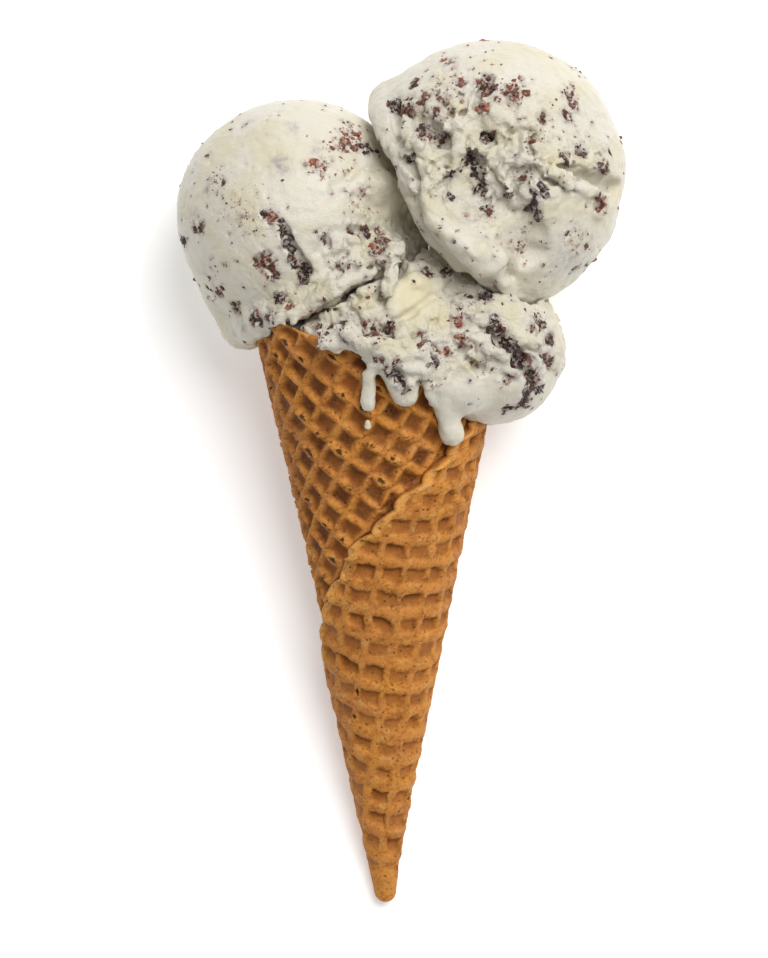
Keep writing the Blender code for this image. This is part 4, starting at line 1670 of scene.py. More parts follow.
@dataclass
class LeftScoop(Scoop):
    """The scoop that leans left: a cut ball with a lip that sags past the cone's rim."""

    centre: Three = (-23.9, 59.3, 25.8)
    radius: float = 26.6 * MM
    axis: Three = (-0.447, 0.893, 0.040)
    depth: float = 19.2 * MM
    lip: Three = (20.6 * MM, 4.0 * MM, 2.6 * MM)
    sag: Three = (21.6 * MM, 3.4 * MM, 8.0 * MM)
    shoulder: tuple[Three, ...] = ((-12.5, 47.3, 42.6), (-3.8, 50.7, 43.0))
    shoulder_radius: float = 4.0 * MM
    tail: tuple[Four, ...] = (
        (-3.4, 51.2, 45.6, 3.0), (-2.8, 47.8, 48.6, 2.4), (-3.0, 44.6, 50.3, 1.9), (-3.6, 41.4, 50.9, 2.0))
    neighbour: RightScoop | None = None
    wafer: Wafer | None = None

    def base(self) -> tuple[Array, Array]:
        """Middle of the flat base and the scoop's axis."""
        axis = unit(np.array(self.axis))
        return np.array(self.centre) * MM - axis * self.depth, axis

    def body(self, points: Points) -> Array:
        """Distance to the smooth body, clear of the scoop beside it.

        Args:
            points: Rows of x, y, z.

        Returns:
            The distance at each point, negative inside.
        """
        base, axis = self.base()
        level = unit(np.cross(axis, [0.0, 0.0, 1.0]))
        lip_radius, lip_half, lip_height = self.lip
        moved = points + 0.4 * MM * (self.noise.at(points, 9.0 * MM)[..., None] * unit(np.ones(3)))
        shape = np.maximum(ball(moved, np.array(self.centre) * MM, self.radius), (base - moved) @ axis)
        shape = merge(shape, ring(moved, base + axis * lip_height, axis, lip_radius, lip_half), 2.5 * MM)
        across, height, length = self.sag
        sag = base - level * across + axis * height
        shape = merge(shape, rod(moved, sag + axis * length, sag, 4.8 * MM, 4.5 * MM), 3.0 * MM)
        shoulder = rod(moved, *(np.array(self.shoulder) * MM), self.shoulder_radius, self.shoulder_radius)
        shape = merge(shape, shoulder, 2.0 * MM)
        for start, end in zip(self.tail, self.tail[1:]):
            ends = np.array([start[:3], end[:3]]) * MM
            shape = merge(shape, rod(moved, *ends, start[3] * MM, end[3] * MM), 0.8 * MM)
        return np.maximum(shape, self.gap - self.neighbour.body(points))

    def roughness(self, points: Points) -> Array:
        """How torn the surface is: smooth where the scoop slid, torn round the lip and low on the right.

        Args:
            points: Rows of x, y, z.

        Returns:
            From 0 where it is smooth to about 1 where it is torn.
        """
        base, axis = self.base()
        height = (points - base) @ axis
        lip = 1.0 - smooth(height, 4.0 * MM, 10.0 * MM)
        away = np.hypot(points[..., 0] + 8.0 * MM, (points[..., 1] - 50.0 * MM) / 0.8)
        torn = 1.0 - smooth(away, 4.0 * MM, 15.0 * MM)
        return 0.06 + 0.72 * np.maximum(0.9 * lip, torn) * smooth(points[..., 0], -42.0 * MM, -22.0 * MM)

    def trim(self, values: Array, points: Points) -> Array:
        """The distance once the wafer's wall is cut away."""
        return np.maximum(values, 0.15 * MM - self.wafer.blocked(points))


@dataclass
class LowerScoop(Scoop):
    """The scoop in the mouth of the cone, with the filling below it and the drips over the rim."""

    mouth: Three = (-2.3, 34.7, 27.5)
    mouth_radii: Three = (24.0, 21.0, 24.5)
    lobe: Three = (17.2, 30.0, 27.5)
    lobe_radii: Three = (18.7, 17.9, 24.0)
    bulge: Four = (12.6, 21.2, 43.4, 6.4)
    overhang: float = 1.1 * MM
    cleft: float = 4.0 * MM
    fill_start: float = 33.0 * MM
    fill_top: float = 150.0 * MM
    right: RightScoop | None = None
    left: LeftScoop | None = None
    wafer: Wafer | None = None
    drips: tuple[tuple[float, ...], ...] = (
        (-24.0, 149.6, 2.4, -19.0, 148.6, 2.4),
        (-15.0, 150.0, 2.6, 6.0, 146.0, 3.0),
        (-3.6, 149.0, 2.2, -5.2, 141.5, 1.3),
        (-5.2, 141.5, 1.3, -6.3, 134.5, 1.5),
        (4.0, 144.5, 2.8, 11.5, 137.2, 2.9),
        (16.0, 146.0, 3.0, 27.0, 139.5, 3.0),
        (27.0, 138.0, 2.2, 34.0, 131.5, 1.7),
        (34.0, 131.5, 1.7, 39.5, 126.8, 2.8),
    )

    def body(self, points: Points) -> Array:
        """Distance to the smooth body, clear of the scoops above it.

        Args:
            points: Rows of x, y, z.

        Returns:
            The distance at each point, negative inside.
        """
        moved = points + 0.5 * MM * (self.noise.at(points, 8.0 * MM)[..., None] * unit(np.ones(3)))
        shape = merge(egg(moved, np.array(self.mouth) * MM, np.array(self.mouth_radii) * MM),
                      egg(moved, np.array(self.lobe) * MM, np.array(self.lobe_radii) * MM), 5.0 * MM)
        for start_turn, start_reach, start_radius, end_turn, end_reach, end_radius in self.drips:
            radii = np.array([start_radius, end_radius]) * MM
            ends = self.wafer.cone.place(np.radians([start_turn, end_turn]),
                                         np.array([start_reach, end_reach]) * MM, radii * 0.35)
            shape = merge(shape, rod(points, *ends, *radii), 1.2 * MM)
        *middle, size = self.bulge
        shape = merge(shape, ball(points, np.array(middle) * MM, size * MM), 2.5 * MM)
        shape = merge(shape, self.cavity(points), MM)
        to_right = self.right.body(points)
        to_left = self.left.body(points)
        below_lip = self.gap + self.overhang * smooth(points[..., 2], 30.0 * MM, 42.0 * MM)
        shape = np.maximum(np.maximum(shape, self.gap - to_right), below_lip - to_left)
        return np.maximum(shape, self.cleft - to_right - to_left)

    def cavity(self, points: Points) -> Array:
        """Distance to the filling inside the cone.

        Args:
            points: Rows of x, y, z.

        Returns:
            The distance at each point, negative inside.
        """
        lift, reach, _, _ = self.wafer.cone.unroll(points)
        wall = lift + self.wafer.cone.inner_wall + 0.9 * MM
        return np.maximum(np.maximum(wall, reach - self.fill_top), self.fill_start - reach)

    def roughness(self, points: Points) -> Array:
        """How torn the surface is: most at the torn edge over the rim, least on the lobe and the swirl.

        Args:
            points: Rows of x, y, z.

        Returns:
            From 0 where it is smooth to about 1 where it is torn.
        """
        x = points[..., 0]
        y = points[..., 1]
        lobe = 1.0 - smooth(np.hypot((x - 15.0 * MM) / 1.7, y - 17.5 * MM), 5.5 * MM, 8.0 * MM)
        swirl = 1.0 - smooth(np.hypot(x - 2.0 * MM, y - 41.0 * MM), 4.0 * MM, 7.0 * MM)
        drips = 1.0 - smooth(y, 20.0 * MM, 27.0 * MM - 5.0 * MM * smooth(x, -4.0 * MM, 0.0) + 4.0 * MM)
        calm = np.maximum(np.maximum(lobe, swirl), drips)
        return 0.08 + 0.62 * (1.0 - calm)

    def trim(self, values: Array, points: Points) -> Array:
        """The distance once the wafer's wall is cut away."""
        return np.maximum(values, 0.05 * MM - self.wafer.blocked(points))


@dataclass
class Chocolate:
    """All the chocolate, one mesh for each kind."""

    chips: list[Chip]
    seed: int = 5

    def __post_init__(self) -> None:
        """Starts the random draws."""
        self.random = np.random.default_rng(self.seed)

    def lump(self, chip: Chip, solid: Points) -> Points:
        """Points of one chip.

        Args:
            chip: The chip.
            solid: Points of a plain solid of radius one.

        Returns:
            The points in place.
        """
        points = solid + self.random.uniform(-0.34, 0.34, solid.shape)
        points = points * np.array(chip.kind.sizes) * self.random.uniform(0.75, 1.25, 3) * chip.size * 0.5
        lean = unit(chip.out + self.random.normal(0.0, 0.5, 3))
        across = unit(np.cross(lean, self.random.normal(size=3)))
        return chip.place + points @ np.array([across, np.cross(lean, across), lean])

    def build(self, kind: ChipKind) -> bpy.types.Object:
        """Makes the mesh of all chips of a kind.

        Args:
            kind: The kind.

        Returns:
            The new object.
        """
        solid, sides = splinter()
        points = []
        faces = []
        tones = []
        films = []
        for chip in self.chips:
            if chip.kind is not kind:
                continue
            faces.append(sides + len(solid) * len(points))
            points.append(self.lump(chip, solid))
            tones.append(np.full(len(solid), chip.tone) + self.random.normal(0.0, 0.08, len(solid)))
            films.append(np.full(len(solid), 0.6 if kind is ChipKind.CHUNK else 1.0))
        placed = np.concatenate(points)
        placed = np.clip(placed, np.array(CAD_BOX[0]), np.array(CAD_BOX[1]))
        marks = {"tone": np.concatenate(tones), "film": np.concatenate(films)}
        skin = Skin(placed, np.concatenate(faces), marks)
        made = skin.to_object("chocolate_" + kind.plural, smooth_shading=False)
        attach(made, "root")
        REPORT.info("%s: %d pieces", made.name, len(points))
        return made


def splinter() -> tuple[Points, Array]:
    """Makes a flat piece with five edges, of radius one.

    Returns:
        Its points and faces.
    """
    sides = 5
    turns = 2.0 * math.pi * np.arange(sides) / sides
    outline = np.stack([np.cos(turns), np.sin(turns)], axis=1)
    points = np.concatenate([np.column_stack([0.72 * outline, np.full(sides, 1.0)]),
                             np.column_stack([outline, np.full(sides, -1.0)])])
    faces = []
    for corner in range(sides):
        ahead = (corner + 1) % sides
        faces += [(corner, sides + corner, sides + ahead), (corner, sides + ahead, ahead)]
    for corner in range(1, sides - 1):
        faces += [(0, corner, corner + 1), (sides, sides + corner + 1, sides + corner)]
    return points, np.array(faces)


@dataclass
class Studio:
    """Pale table, soft light and the camera over the cone."""

    camera_place: Three = (-4.79 * MM, 0.87 * MM, 920.0 * MM)
    camera_turn: float = -0.01
    lens: float = 150.0
    fill: float = 0.36
    key: float = 15.2
    key_size: float = 0.9
    key_place: Three = (0.38, 0.54, 1.14)

    def build(self) -> None:
        """Makes the table, the lights and the camera."""
        scene = bpy.context.scene
        scene.view_settings.view_transform = "Standard"
        mesh = bpy.data.meshes.new("table")
        half = 3.0
        mesh.from_pydata([(-half, -half, 0.0), (half, -half, 0.0), (half, half, 0.0), (-half, half, 0.0)], [],
                         [(0, 1, 2, 3)])
        mesh.materials.append(TableFinish().material())
        table = stand("table", mesh)
        world = bpy.data.worlds.new("studio")
        world.use_nodes = True
        background = world.node_tree.nodes["Background"].inputs
        background["Color"].default_value = (1.0, 1.0, 1.0, 1.0)
        background["Strength"].default_value = self.fill
        scene.world = world
        lamp = bpy.data.lights.new("key", "AREA")
        lamp.shape = "DISK"
        lamp.size = self.key_size
        lamp.energy = self.key
        key = stand("key", lamp)
        key.location = self.key_place
        key.rotation_euler = (-Vector(self.key_place)).to_track_quat("-Z", "Y").to_euler()
        lens = bpy.data.cameras.new("camera")
        lens.lens = self.lens
        lens.sensor_width = 36.0
        lens.clip_start = 0.01
        camera = stand("camera", lens)
        camera.location = self.camera_place
        camera.rotation_euler = (0.0, 0.0, self.camera_turn)
        scene.camera = camera
        REPORT.info("studio: table, key light and camera")


# Set out on the upper faces, in millimetres. Patches are rows for Patch. Chunks are x, y, size and
# tone. Stains and yellow tints are x, y, radius and strength: the stains are real stains round chips and
# painted shade, the yellow tints partly the cream's own and partly painted shade.
RIGHT_RUNS = (
    Groove(((2.0, 79.2, 2.6, 0.4), (9.5, 73.2, 3.6, 0.4), (14.0, 65.2, 4.6, 0.8),
            (22.0, 58.5, 4.0, 1.2)), 0.8, True),
    Groove(((12.0, 58.6, 4.5, 2.6), (18.5, 57.2, 6.0, 3.3), (25.5, 54.0, 6.5, 3.8),
            (28.0, 48.0, 6.0, 3.8)), 1.2, True),
    Groove(((30.0, 67.6, 2.2, 0.7), (38.0, 65.6, 2.8, 0.8), (47.0, 64.0, 2.6, 0.8)), 0.8, True),
    Groove(((-1.5, 82.3, 1.7, 0.2), (-1.0, 77.5, 1.4, 0.0), (-0.3, 73.5, 1.2, 0.1)), 0.4, True),
    Groove(((2.2, 76.9, 1.3, -0.8), (5.3, 75.4, 1.6, -1.0), (8.9, 73.8, 1.3, -0.8)), 0.3, True),
    Groove(((1.3, 70.2, 1.4, 0.0), (3.6, 67.3, 1.7, 0.3)), 0.4, True),
    Groove(((15.0, 72.2, 1.6, -0.9), (15.9, 69.4, 1.9, -1.3), (14.3, 67.0, 1.5, -1.0),
            (16.1, 64.2, 2.0, -0.9)), 0.3, True),
    Groove(((18.8, 75.0, 1.5, -0.9), (17.2, 73.4, 1.1, -0.5)), 0.3, True),
    Groove(((10.6, 79.3, 1.2, -0.7), (13.8, 79.9, 1.3, -0.8)), 0.3, True),
    Groove(((18.9, 87.6, 1.3, -0.3), (17.4, 84.8, 1.3, -0.3), (16.4, 81.6, 1.4, -0.6)), 0.3, True),
    Groove(((29.6, 79.2, 1.2, -0.3), (30.4, 77.6, 1.0, 0.0)), 0.3, True),
    Groove(((23.7, 62.8, 1.4, -0.4), (21.6, 64.4, 1.0, -0.2)), 0.3, True),
    Groove(((0.9, 76.8, 1.6, 0.1), (3.6, 73.2, 2.0, 0.4), (5.4, 69.6, 1.8, 0.4), (5.4, 65.4, 1.6, 0.3),
            (5.6, 61.0, 1.9, 0.2), (7.4, 56.8, 2.8, 0.0), (11.8, 52.6, 3.8, -0.4)), 0.5, crumbs=3),
    Groove(((11.8, 52.6, 3.8, -0.4), (15.6, 50.2, 4.3, 0.2), (17.8, 48.2, 4.2, 0.4)), 0.5),
    Groove(((12.6, 56.4, 1.0, -0.6), (16.6, 54.9, 1.1, -0.9), (20.6, 53.6, 1.0, -0.9)), 0.4, crumbs=7),
    Groove(((19.8, 56.4, 1.3, 0.2), (22.6, 53.6, 2.0, -0.2), (24.0, 50.4, 2.4, -0.5),
            (23.6, 46.8, 2.5, -0.7), (21.4, 43.4, 2.0, -0.8)), 0.25, True),
    Groove(((5.0, 68.6, 1.5, 0.3), (8.9, 69.6, 1.5, 0.5), (12.0, 71.4, 1.3, 0.5),
            (12.8, 74.9, 1.5, 0.2)), 0.6, crumbs=4),
    Groove(((8.0, 66.0, 0.9, 0.2), (10.7, 69.0, 1.1, 0.5), (12.6, 71.0, 0.9, 0.4)), 0.5),
    Groove(((18.0, 72.4, 1.3, 0.0), (20.5, 69.6, 1.7, 0.3), (24.5, 69.2, 1.9, 0.5), (28.6, 69.2, 1.5, 0.4),
            (31.6, 67.0, 1.5, 0.4), (35.6, 64.9, 1.5, 0.4), (40.4, 63.1, 1.4, 0.4),
            (45.2, 62.2, 0.8, 0.5)), 0.7, crumbs=4),
    Groove(((25.6, 69.2, 1.1, 0.6), (26.6, 71.4, 0.7, 0.8)), 0.5),
    Groove(((20.5, 69.2, 1.3, 0.2), (21.6, 65.8, 1.0, 0.0)), 0.6, crumbs=3),
    Groove(((19.5, 79.6, 2.6, -1.7), (24.2, 77.4, 3.2, -2.2), (27.6, 76.6, 2.6, -2.0)), 0.9, crumbs=7),
    Groove(((9.2, 78.6, 1.6, -0.4), (11.6, 77.0, 2.0, -0.6), (14.6, 76.6, 2.0, -0.8)), 0.6, crumbs=7),
    Groove(((44.0, 60.8, 1.6, -0.2), (42.6, 58.4, 1.4, -0.3)), 0.7),
    Groove(((19.8, 45.6, 1.8, 0.1), (22.6, 42.8, 1.5, -0.4), (24.4, 40.7, 1.4, -1.0)), 0.7),
    Groove(((10.2, 66.8, 1.0, -0.6),), 0.3, True),
    Groove(((10.4, 61.5, 0.9, -0.5),), 0.3, True),
)
RIGHT_PATCHES = (
    (0.0, 82.0, 2.2, 7, 10, 1.0, 0.2), (5.5, 75.8, 2.6, 5, 9, 0.9, 0.5), (8.7, 75.0, 0.8, 2, 2, 0.9, 0.0),
    (18.3, 86.0, 2.2, 5, 8, 1.1, 0.5), (24.0, 85.0, 3.6, 9, 16, 0.8, 0.6),
    (17.5, 81.0, 1.4, 2, 4, 1.0, 0.8), (36.5, 83.5, 3.0, 5, 12, 0.8, 0.5),
    (35.8, 79.5, 1.2, 2, 3, 0.9, 0.3), (18.5, 74.3, 1.2, 3, 4, 0.9, 0.2), (15.5, 69.5, 2.4, 5, 9, 0.8, 0.0),
    (16.5, 64.6, 1.6, 3, 5, 0.8, 0.05), (10.3, 66.8, 0.7, 1, 2, 0.8, 0.0),
    (10.6, 61.6, 0.6, 1, 1, 0.9, 0.0), (1.6, 70.2, 0.8, 2, 1, 0.9, 0.1), (26.0, 66.0, 2.2, 1, 8, 0.8, 0.5),
    (18.5, 58.6, 1.2, 2, 4, 0.9, 0.4), (34.6, 64.8, 1.4, 2, 4, 0.9, 0.6), (38.6, 71.4, 1.2, 2, 3, 1.0, 0.3),
    (44.0, 69.2, 1.4, 2, 2, 1.1, 0.3), (34.8, 69.6, 1.0, 2, 2, 0.9, 0.3), (43.0, 60.4, 1.6, 3, 2, 1.0, 0.6),
    (9.0, 83.5, 3.6, 4, 16, 0.8, 0.7), (10.5, 90.0, 4.5, 2, 10, 0.8, 0.8),
    (30.0, 74.5, 4.5, 1, 9, 0.7, 0.7), (24.5, 51.5, 5.0, 2, 9, 0.6, 0.6), (38.0, 54.0, 6.0, 2, 7, 0.8, 0.6),
    (6.0, 64.0, 3.0, 0, 5, 0.6, 0.9),
)
RIGHT_CHUNKS = (
    (29.2, 61.4, 3.4, 0.0), (28.6, 59.4, 3.4, 0.0), (28.8, 57.2, 2.8, 0.0), (1.0, 80.6, 2.8, 0.25),
    (-2.0, 83.4, 2.6, 0.15), (18.8, 87.2, 3.0, 0.45), (18.6, 85.0, 3.0, 0.5), (17.4, 81.4, 2.6, 0.9),
    (12.8, 87.4, 2.4, 0.75), (2.6, 87.6, 2.8, 0.2), (4.4, 75.8, 2.8, 0.3), (7.6, 74.4, 2.4, 0.25),
    (24.2, 85.0, 3.0, 0.6), (26.8, 84.0, 2.6, 0.6), (36.8, 82.8, 2.2, 0.4), (15.6, 70.2, 3.0, 0.0),
    (15.0, 67.2, 2.4, 0.0), (16.4, 64.6, 3.0, 0.0), (18.4, 74.4, 2.6, 0.1), (10.2, 66.8, 2.0, 0.0),
    (10.4, 61.6, 1.8, 0.0), (23.4, 62.8, 2.0, 0.3), (1.7, 70.4, 2.0, 0.1), (39.0, 71.2, 2.0, 0.4),
    (44.0, 69.2, 2.2, 0.4), (34.8, 69.6, 1.8, 0.3), (30.0, 78.8, 2.0, 0.3), (4.6, 83.2, 2.8, 0.6),
    (7.6, 81.0, 2.6, 0.6), (18.6, 58.4, 2.2, 0.5), (35.4, 65.2, 2.2, 0.6), (43.0, 60.0, 2.0, 0.5),
)
# Stain spots on the right scoop: most are stains round chips, and the wide ones low on the right are painted
# shade.
RIGHT_STAINS_AND_SHADE = (
    (26.5, 51.3, 4.5, 0.9), (15.2, 57.6, 2.6, 0.8), (44.2, 69.4, 2.6, 0.7), (35.9, 79.6, 3.2, 0.6),
    (39.2, 73.0, 3.4, 0.5), (9.0, 81.5, 5.0, 0.45), (24.0, 84.0, 4.0, 0.4), (38.0, 50.0, 13.0, 0.55),
    (46.0, 60.0, 8.0, 0.35), (1.5, 77.5, 3.0, 0.6), (29.0, 60.0, 4.0, 0.7),
)
# Yellow tint spots on the right scoop: partly the cream's own tint, partly painted shade in its broken
# middle.
RIGHT_YELLOW_TINT_AND_SHADE = (
    (33.0, 69.0, 6.0, 0.8), (12.0, 81.0, 5.0, 0.7), (22.0, 74.0, 6.0, 0.5), (20.0, 57.0, 5.0, 0.6),
    (5.0, 70.0, 5.0, 0.6),
)
LEFT_RUNS = (
    Groove(((-14.0, 65.5, 1.4, 0.5), (-9.0, 68.6, 1.2, 0.6), (-5.6, 69.6, 1.0, 0.5)), 1.2, True),
    Groove(((-9.5, 65.6, 2.4, -1.2), (-4.6, 66.2, 2.8, -1.4), (-1.8, 62.0, 2.4, -1.2)), 1.5),
    Groove(((-26.6, 56.2, 1.0, -0.1), (-25.5, 52.9, 1.3, -0.2), (-23.6, 50.2, 1.1, -0.1),
            (-21.6, 46.6, 1.9, -0.2)), 0.4, True),
    Groove(((-32.2, 48.6, 1.2, 0.2), (-30.2, 50.2, 1.0, 0.2)), 0.5, True),
    Groove(((-29.8, 47.4, 1.2, 0.2), (-28.8, 45.6, 1.0, 0.2)), 0.5, True),
    Groove(((-10.0, 62.0, 1.4, 0.8), (-3.4, 60.2, 1.6, 1.0)), 1.0, True),
    Groove(((-28.0, 36.2, 1.5, 0.2), (-24.0, 37.0, 1.5, 0.3), (-20.0, 39.6, 1.6, 0.5),
            (-15.2, 42.6, 1.5, 0.7), (-10.6, 45.2, 1.6, 0.8), (-6.4, 46.4, 1.5, 0.8)), 0.6, crumbs=13),
    Groove(((-12.0, 47.0, 1.6, 0.3), (-6.0, 49.4, 1.5, 0.3), (-1.6, 51.4, 1.6, 0.0)), 0.6, crumbs=8),
    Groove(((-17.0, 52.6, 1.2, -0.2),), 0.4, True),
    Groove(((-8.6, 54.6, 1.0, -0.1), (-11.6, 55.4, 1.0, 0.0)), 0.4, True),
)
LEFT_PATCHES = (
    (-11.3, 76.0, 3.6, 4, 18, 0.8, 0.75), (-12.8, 74.6, 1.2, 3, 4, 1.0, 0.8),
    (-7.4, 73.2, 1.0, 3, 2, 0.9, 0.05), (-17.5, 68.6, 1.8, 2, 8, 0.8, 0.7),
    (-14.5, 70.8, 4.0, 0, 8, 0.7, 0.8), (-41.0, 66.5, 2.6, 2, 8, 0.7, 0.3),
    (-45.4, 56.6, 1.2, 2, 3, 0.8, 0.3), (-48.4, 54.0, 1.0, 2, 1, 1.0, 0.0),
    (-29.0, 58.2, 1.4, 3, 5, 0.9, 0.7), (-30.2, 48.4, 1.8, 5, 8, 0.9, 0.6),
    (-22.2, 47.6, 2.0, 4, 5, 0.9, 0.15), (-27.4, 41.0, 1.0, 2, 2, 1.0, 0.1),
    (-24.6, 38.6, 1.8, 2, 5, 0.9, 0.7), (-33.0, 36.6, 1.2, 2, 2, 1.1, 0.1),
    (-36.8, 38.8, 1.2, 2, 1, 1.0, 0.2), (-42.0, 44.5, 2.6, 2, 6, 0.8, 0.5),
    (-29.4, 36.8, 1.6, 2, 4, 0.8, 0.2), (-40.6, 42.3, 1.0, 2, 0, 1.0, 0.4),
    (-17.0, 54.0, 1.6, 2, 2, 0.9, 0.4), (-9.2, 55.2, 1.2, 2, 2, 1.0, 0.35),
    (-5.6, 55.4, 0.9, 2, 2, 0.9, 0.6), (-5.2, 52.0, 2.6, 3, 9, 0.8, 0.5), (-4.4, 49.4, 0.9, 2, 0, 1.0, 0.3),
    (-8.5, 45.8, 1.0, 1, 3, 0.8, 0.6), (-14.0, 48.0, 3.0, 1, 7, 0.7, 0.5),
    (-9.5, 61.5, 5.0, 0, 7, 0.6, 0.8), (-5.8, 40.8, 0.8, 1, 2, 0.9, 0.2),
    (-35.0, 60.0, 9.0, 1, 10, 0.6, 0.4),
)
LEFT_CHUNKS = (
    (-26.6, 56.4, 2.4, 0.2), (-25.9, 54.6, 2.6, 0.05), (-25.3, 52.6, 2.8, 0.0), (-24.2, 51.0, 2.6, 0.05),
    (-22.8, 48.8, 2.6, 0.3), (-21.6, 47.0, 3.2, 0.0), (-21.8, 45.4, 3.2, 0.0), (-28.6, 58.0, 2.4, 0.7),
    (-32.2, 48.8, 2.4, 0.5), (-30.2, 50.2, 2.2, 0.6), (-29.6, 47.4, 2.4, 0.4), (-28.6, 45.6, 2.2, 0.4),
    (-12.6, 74.8, 2.8, 0.8), (-10.4, 73.4, 2.4, 0.7), (-7.2, 73.0, 2.6, 0.1), (-18.8, 69.8, 2.4, 0.8),
    (-48.6, 53.8, 2.6, 0.1), (-10.8, 55.2, 2.2, 0.3), (-8.2, 54.8, 2.2, 0.3), (-9.8, 77.2, 2.2, 0.8),
    (-33.4, 36.8, 2.2, 0.2), (-30.0, 36.4, 2.2, 0.2), (-36.6, 38.8, 2.0, 0.3), (-27.6, 41.2, 2.2, 0.2),
    (-24.6, 38.2, 2.2, 0.7), (-5.4, 51.6, 2.2, 0.6), (-4.0, 48.6, 2.0, 0.5), (-40.8, 42.2, 2.0, 0.5),
    (-44.6, 57.4, 2.0, 0.4),
)
LEFT_STAINS = (
    (-26.7, 69.7, 4.2, 0.85), (-18.6, 72.6, 2.6, 0.7), (-43.0, 65.0, 3.2, 0.8), (-46.5, 59.0, 4.5, 0.6),
    (-16.6, 52.8, 2.0, 0.95), (-23.6, 48.6, 3.4, 0.8), (-35.9, 34.8, 2.6, 0.9), (-20.0, 46.0, 3.6, 0.35),
    (-33.0, 38.6, 4.0, 0.45), (-24.0, 78.5, 4.0, 0.5), (-44.0, 47.0, 4.0, 0.5),
)
LOWER_RUNS = (
    Groove(((-2.4, 35.8, 1.0, 0.1), (2.5, 37.4, 1.3, 0.2), (7.6, 41.0, 0.9, 0.2)), 0.5, True),
    Groove(((-2.2, 38.0, 2.0, -0.9), (-0.8, 41.8, 2.4, -1.2), (2.6, 43.8, 2.6, -1.5),
            (7.4, 42.9, 2.2, -1.2)), 1.1),
    Groove(((16.4, 34.2, 1.1, 0.0), (20.2, 31.8, 1.6, -0.3), (23.3, 29.2, 1.5, -0.4),
            (25.2, 26.1, 1.7, -0.5), (27.4, 22.4, 1.4, -0.2)), 0.3, True),
    Groove(((15.4, 36.2, 1.3, 0.1), (20.4, 34.4, 1.7, 0.3), (25.4, 31.9, 1.6, 0.3),
            (29.0, 29.6, 1.3, 0.2)), 0.7, crumbs=5),
    Groove(((13.8, 31.6, 1.2, 0.1), (18.0, 29.6, 1.5, 0.2), (21.6, 26.6, 1.4, 0.2)), 0.7, crumbs=4),
    Groove(((12.0, 28.8, 1.0, -0.1), (15.1, 25.8, 1.3, -0.3), (16.6, 24.0, 1.0, 0.0)), 0.3, True),
    Groove(((20.6, 22.9, 0.9, 0.0), (23.2, 21.5, 0.9, 0.0)), 0.4, True),
    Groove(((-1.8, 23.4, 1.2, -0.3), (-0.6, 21.4, 1.3, 0.0)), 0.3, True),
    Groove(((6.4, 26.6, 1.3, -0.5), (5.2, 23.6, 1.3, -0.5)), 0.3, True),
    Groove(((-7.8, 33.4, 1.1, -0.2), (-4.6, 33.0, 1.0, -0.2)), 0.3, True),
    Groove(((-15.6, 31.2, 1.2, 0.0), (-16.8, 30.4, 1.9, 0.1)), 0.6, crumbs=4),
    Groove(((-13.6, 33.0, 1.3, 0.1), (-10.0, 30.4, 1.3, 0.2), (-6.6, 29.2, 1.3, 0.2)), 0.6, crumbs=8),
    Groove(((-0.8, 32.8, 1.6, 0.3), (1.0, 30.0, 1.2, 0.2)), 0.6, crumbs=6),
    Groove(((0.4, 21.2, 1.6, -0.7), (2.2, 20.3, 1.0, -1.0)), 0.7),
    Groove(((0.4, 24.8, 1.5, -0.8), (4.2, 24.8, 1.5, -0.8)), 0.6),
    Groove(((0.2, 23.4, 1.2, -0.9), (4.0, 23.6, 1.2, -0.9)), 0.6),
    Groove(((-6.0, 29.6, 1.7, -0.9), (-6.8, 26.2, 1.3, -0.9), (-7.5, 22.6, 1.1, -0.8)), 0.6),
    Groove(((4.2, 29.4, 1.2, 0.0), (5.4, 25.6, 1.1, -0.2), (5.6, 21.6, 1.2, -0.6),
            (6.0, 17.6, 1.2, -0.9)), 0.5, crumbs=6),
)
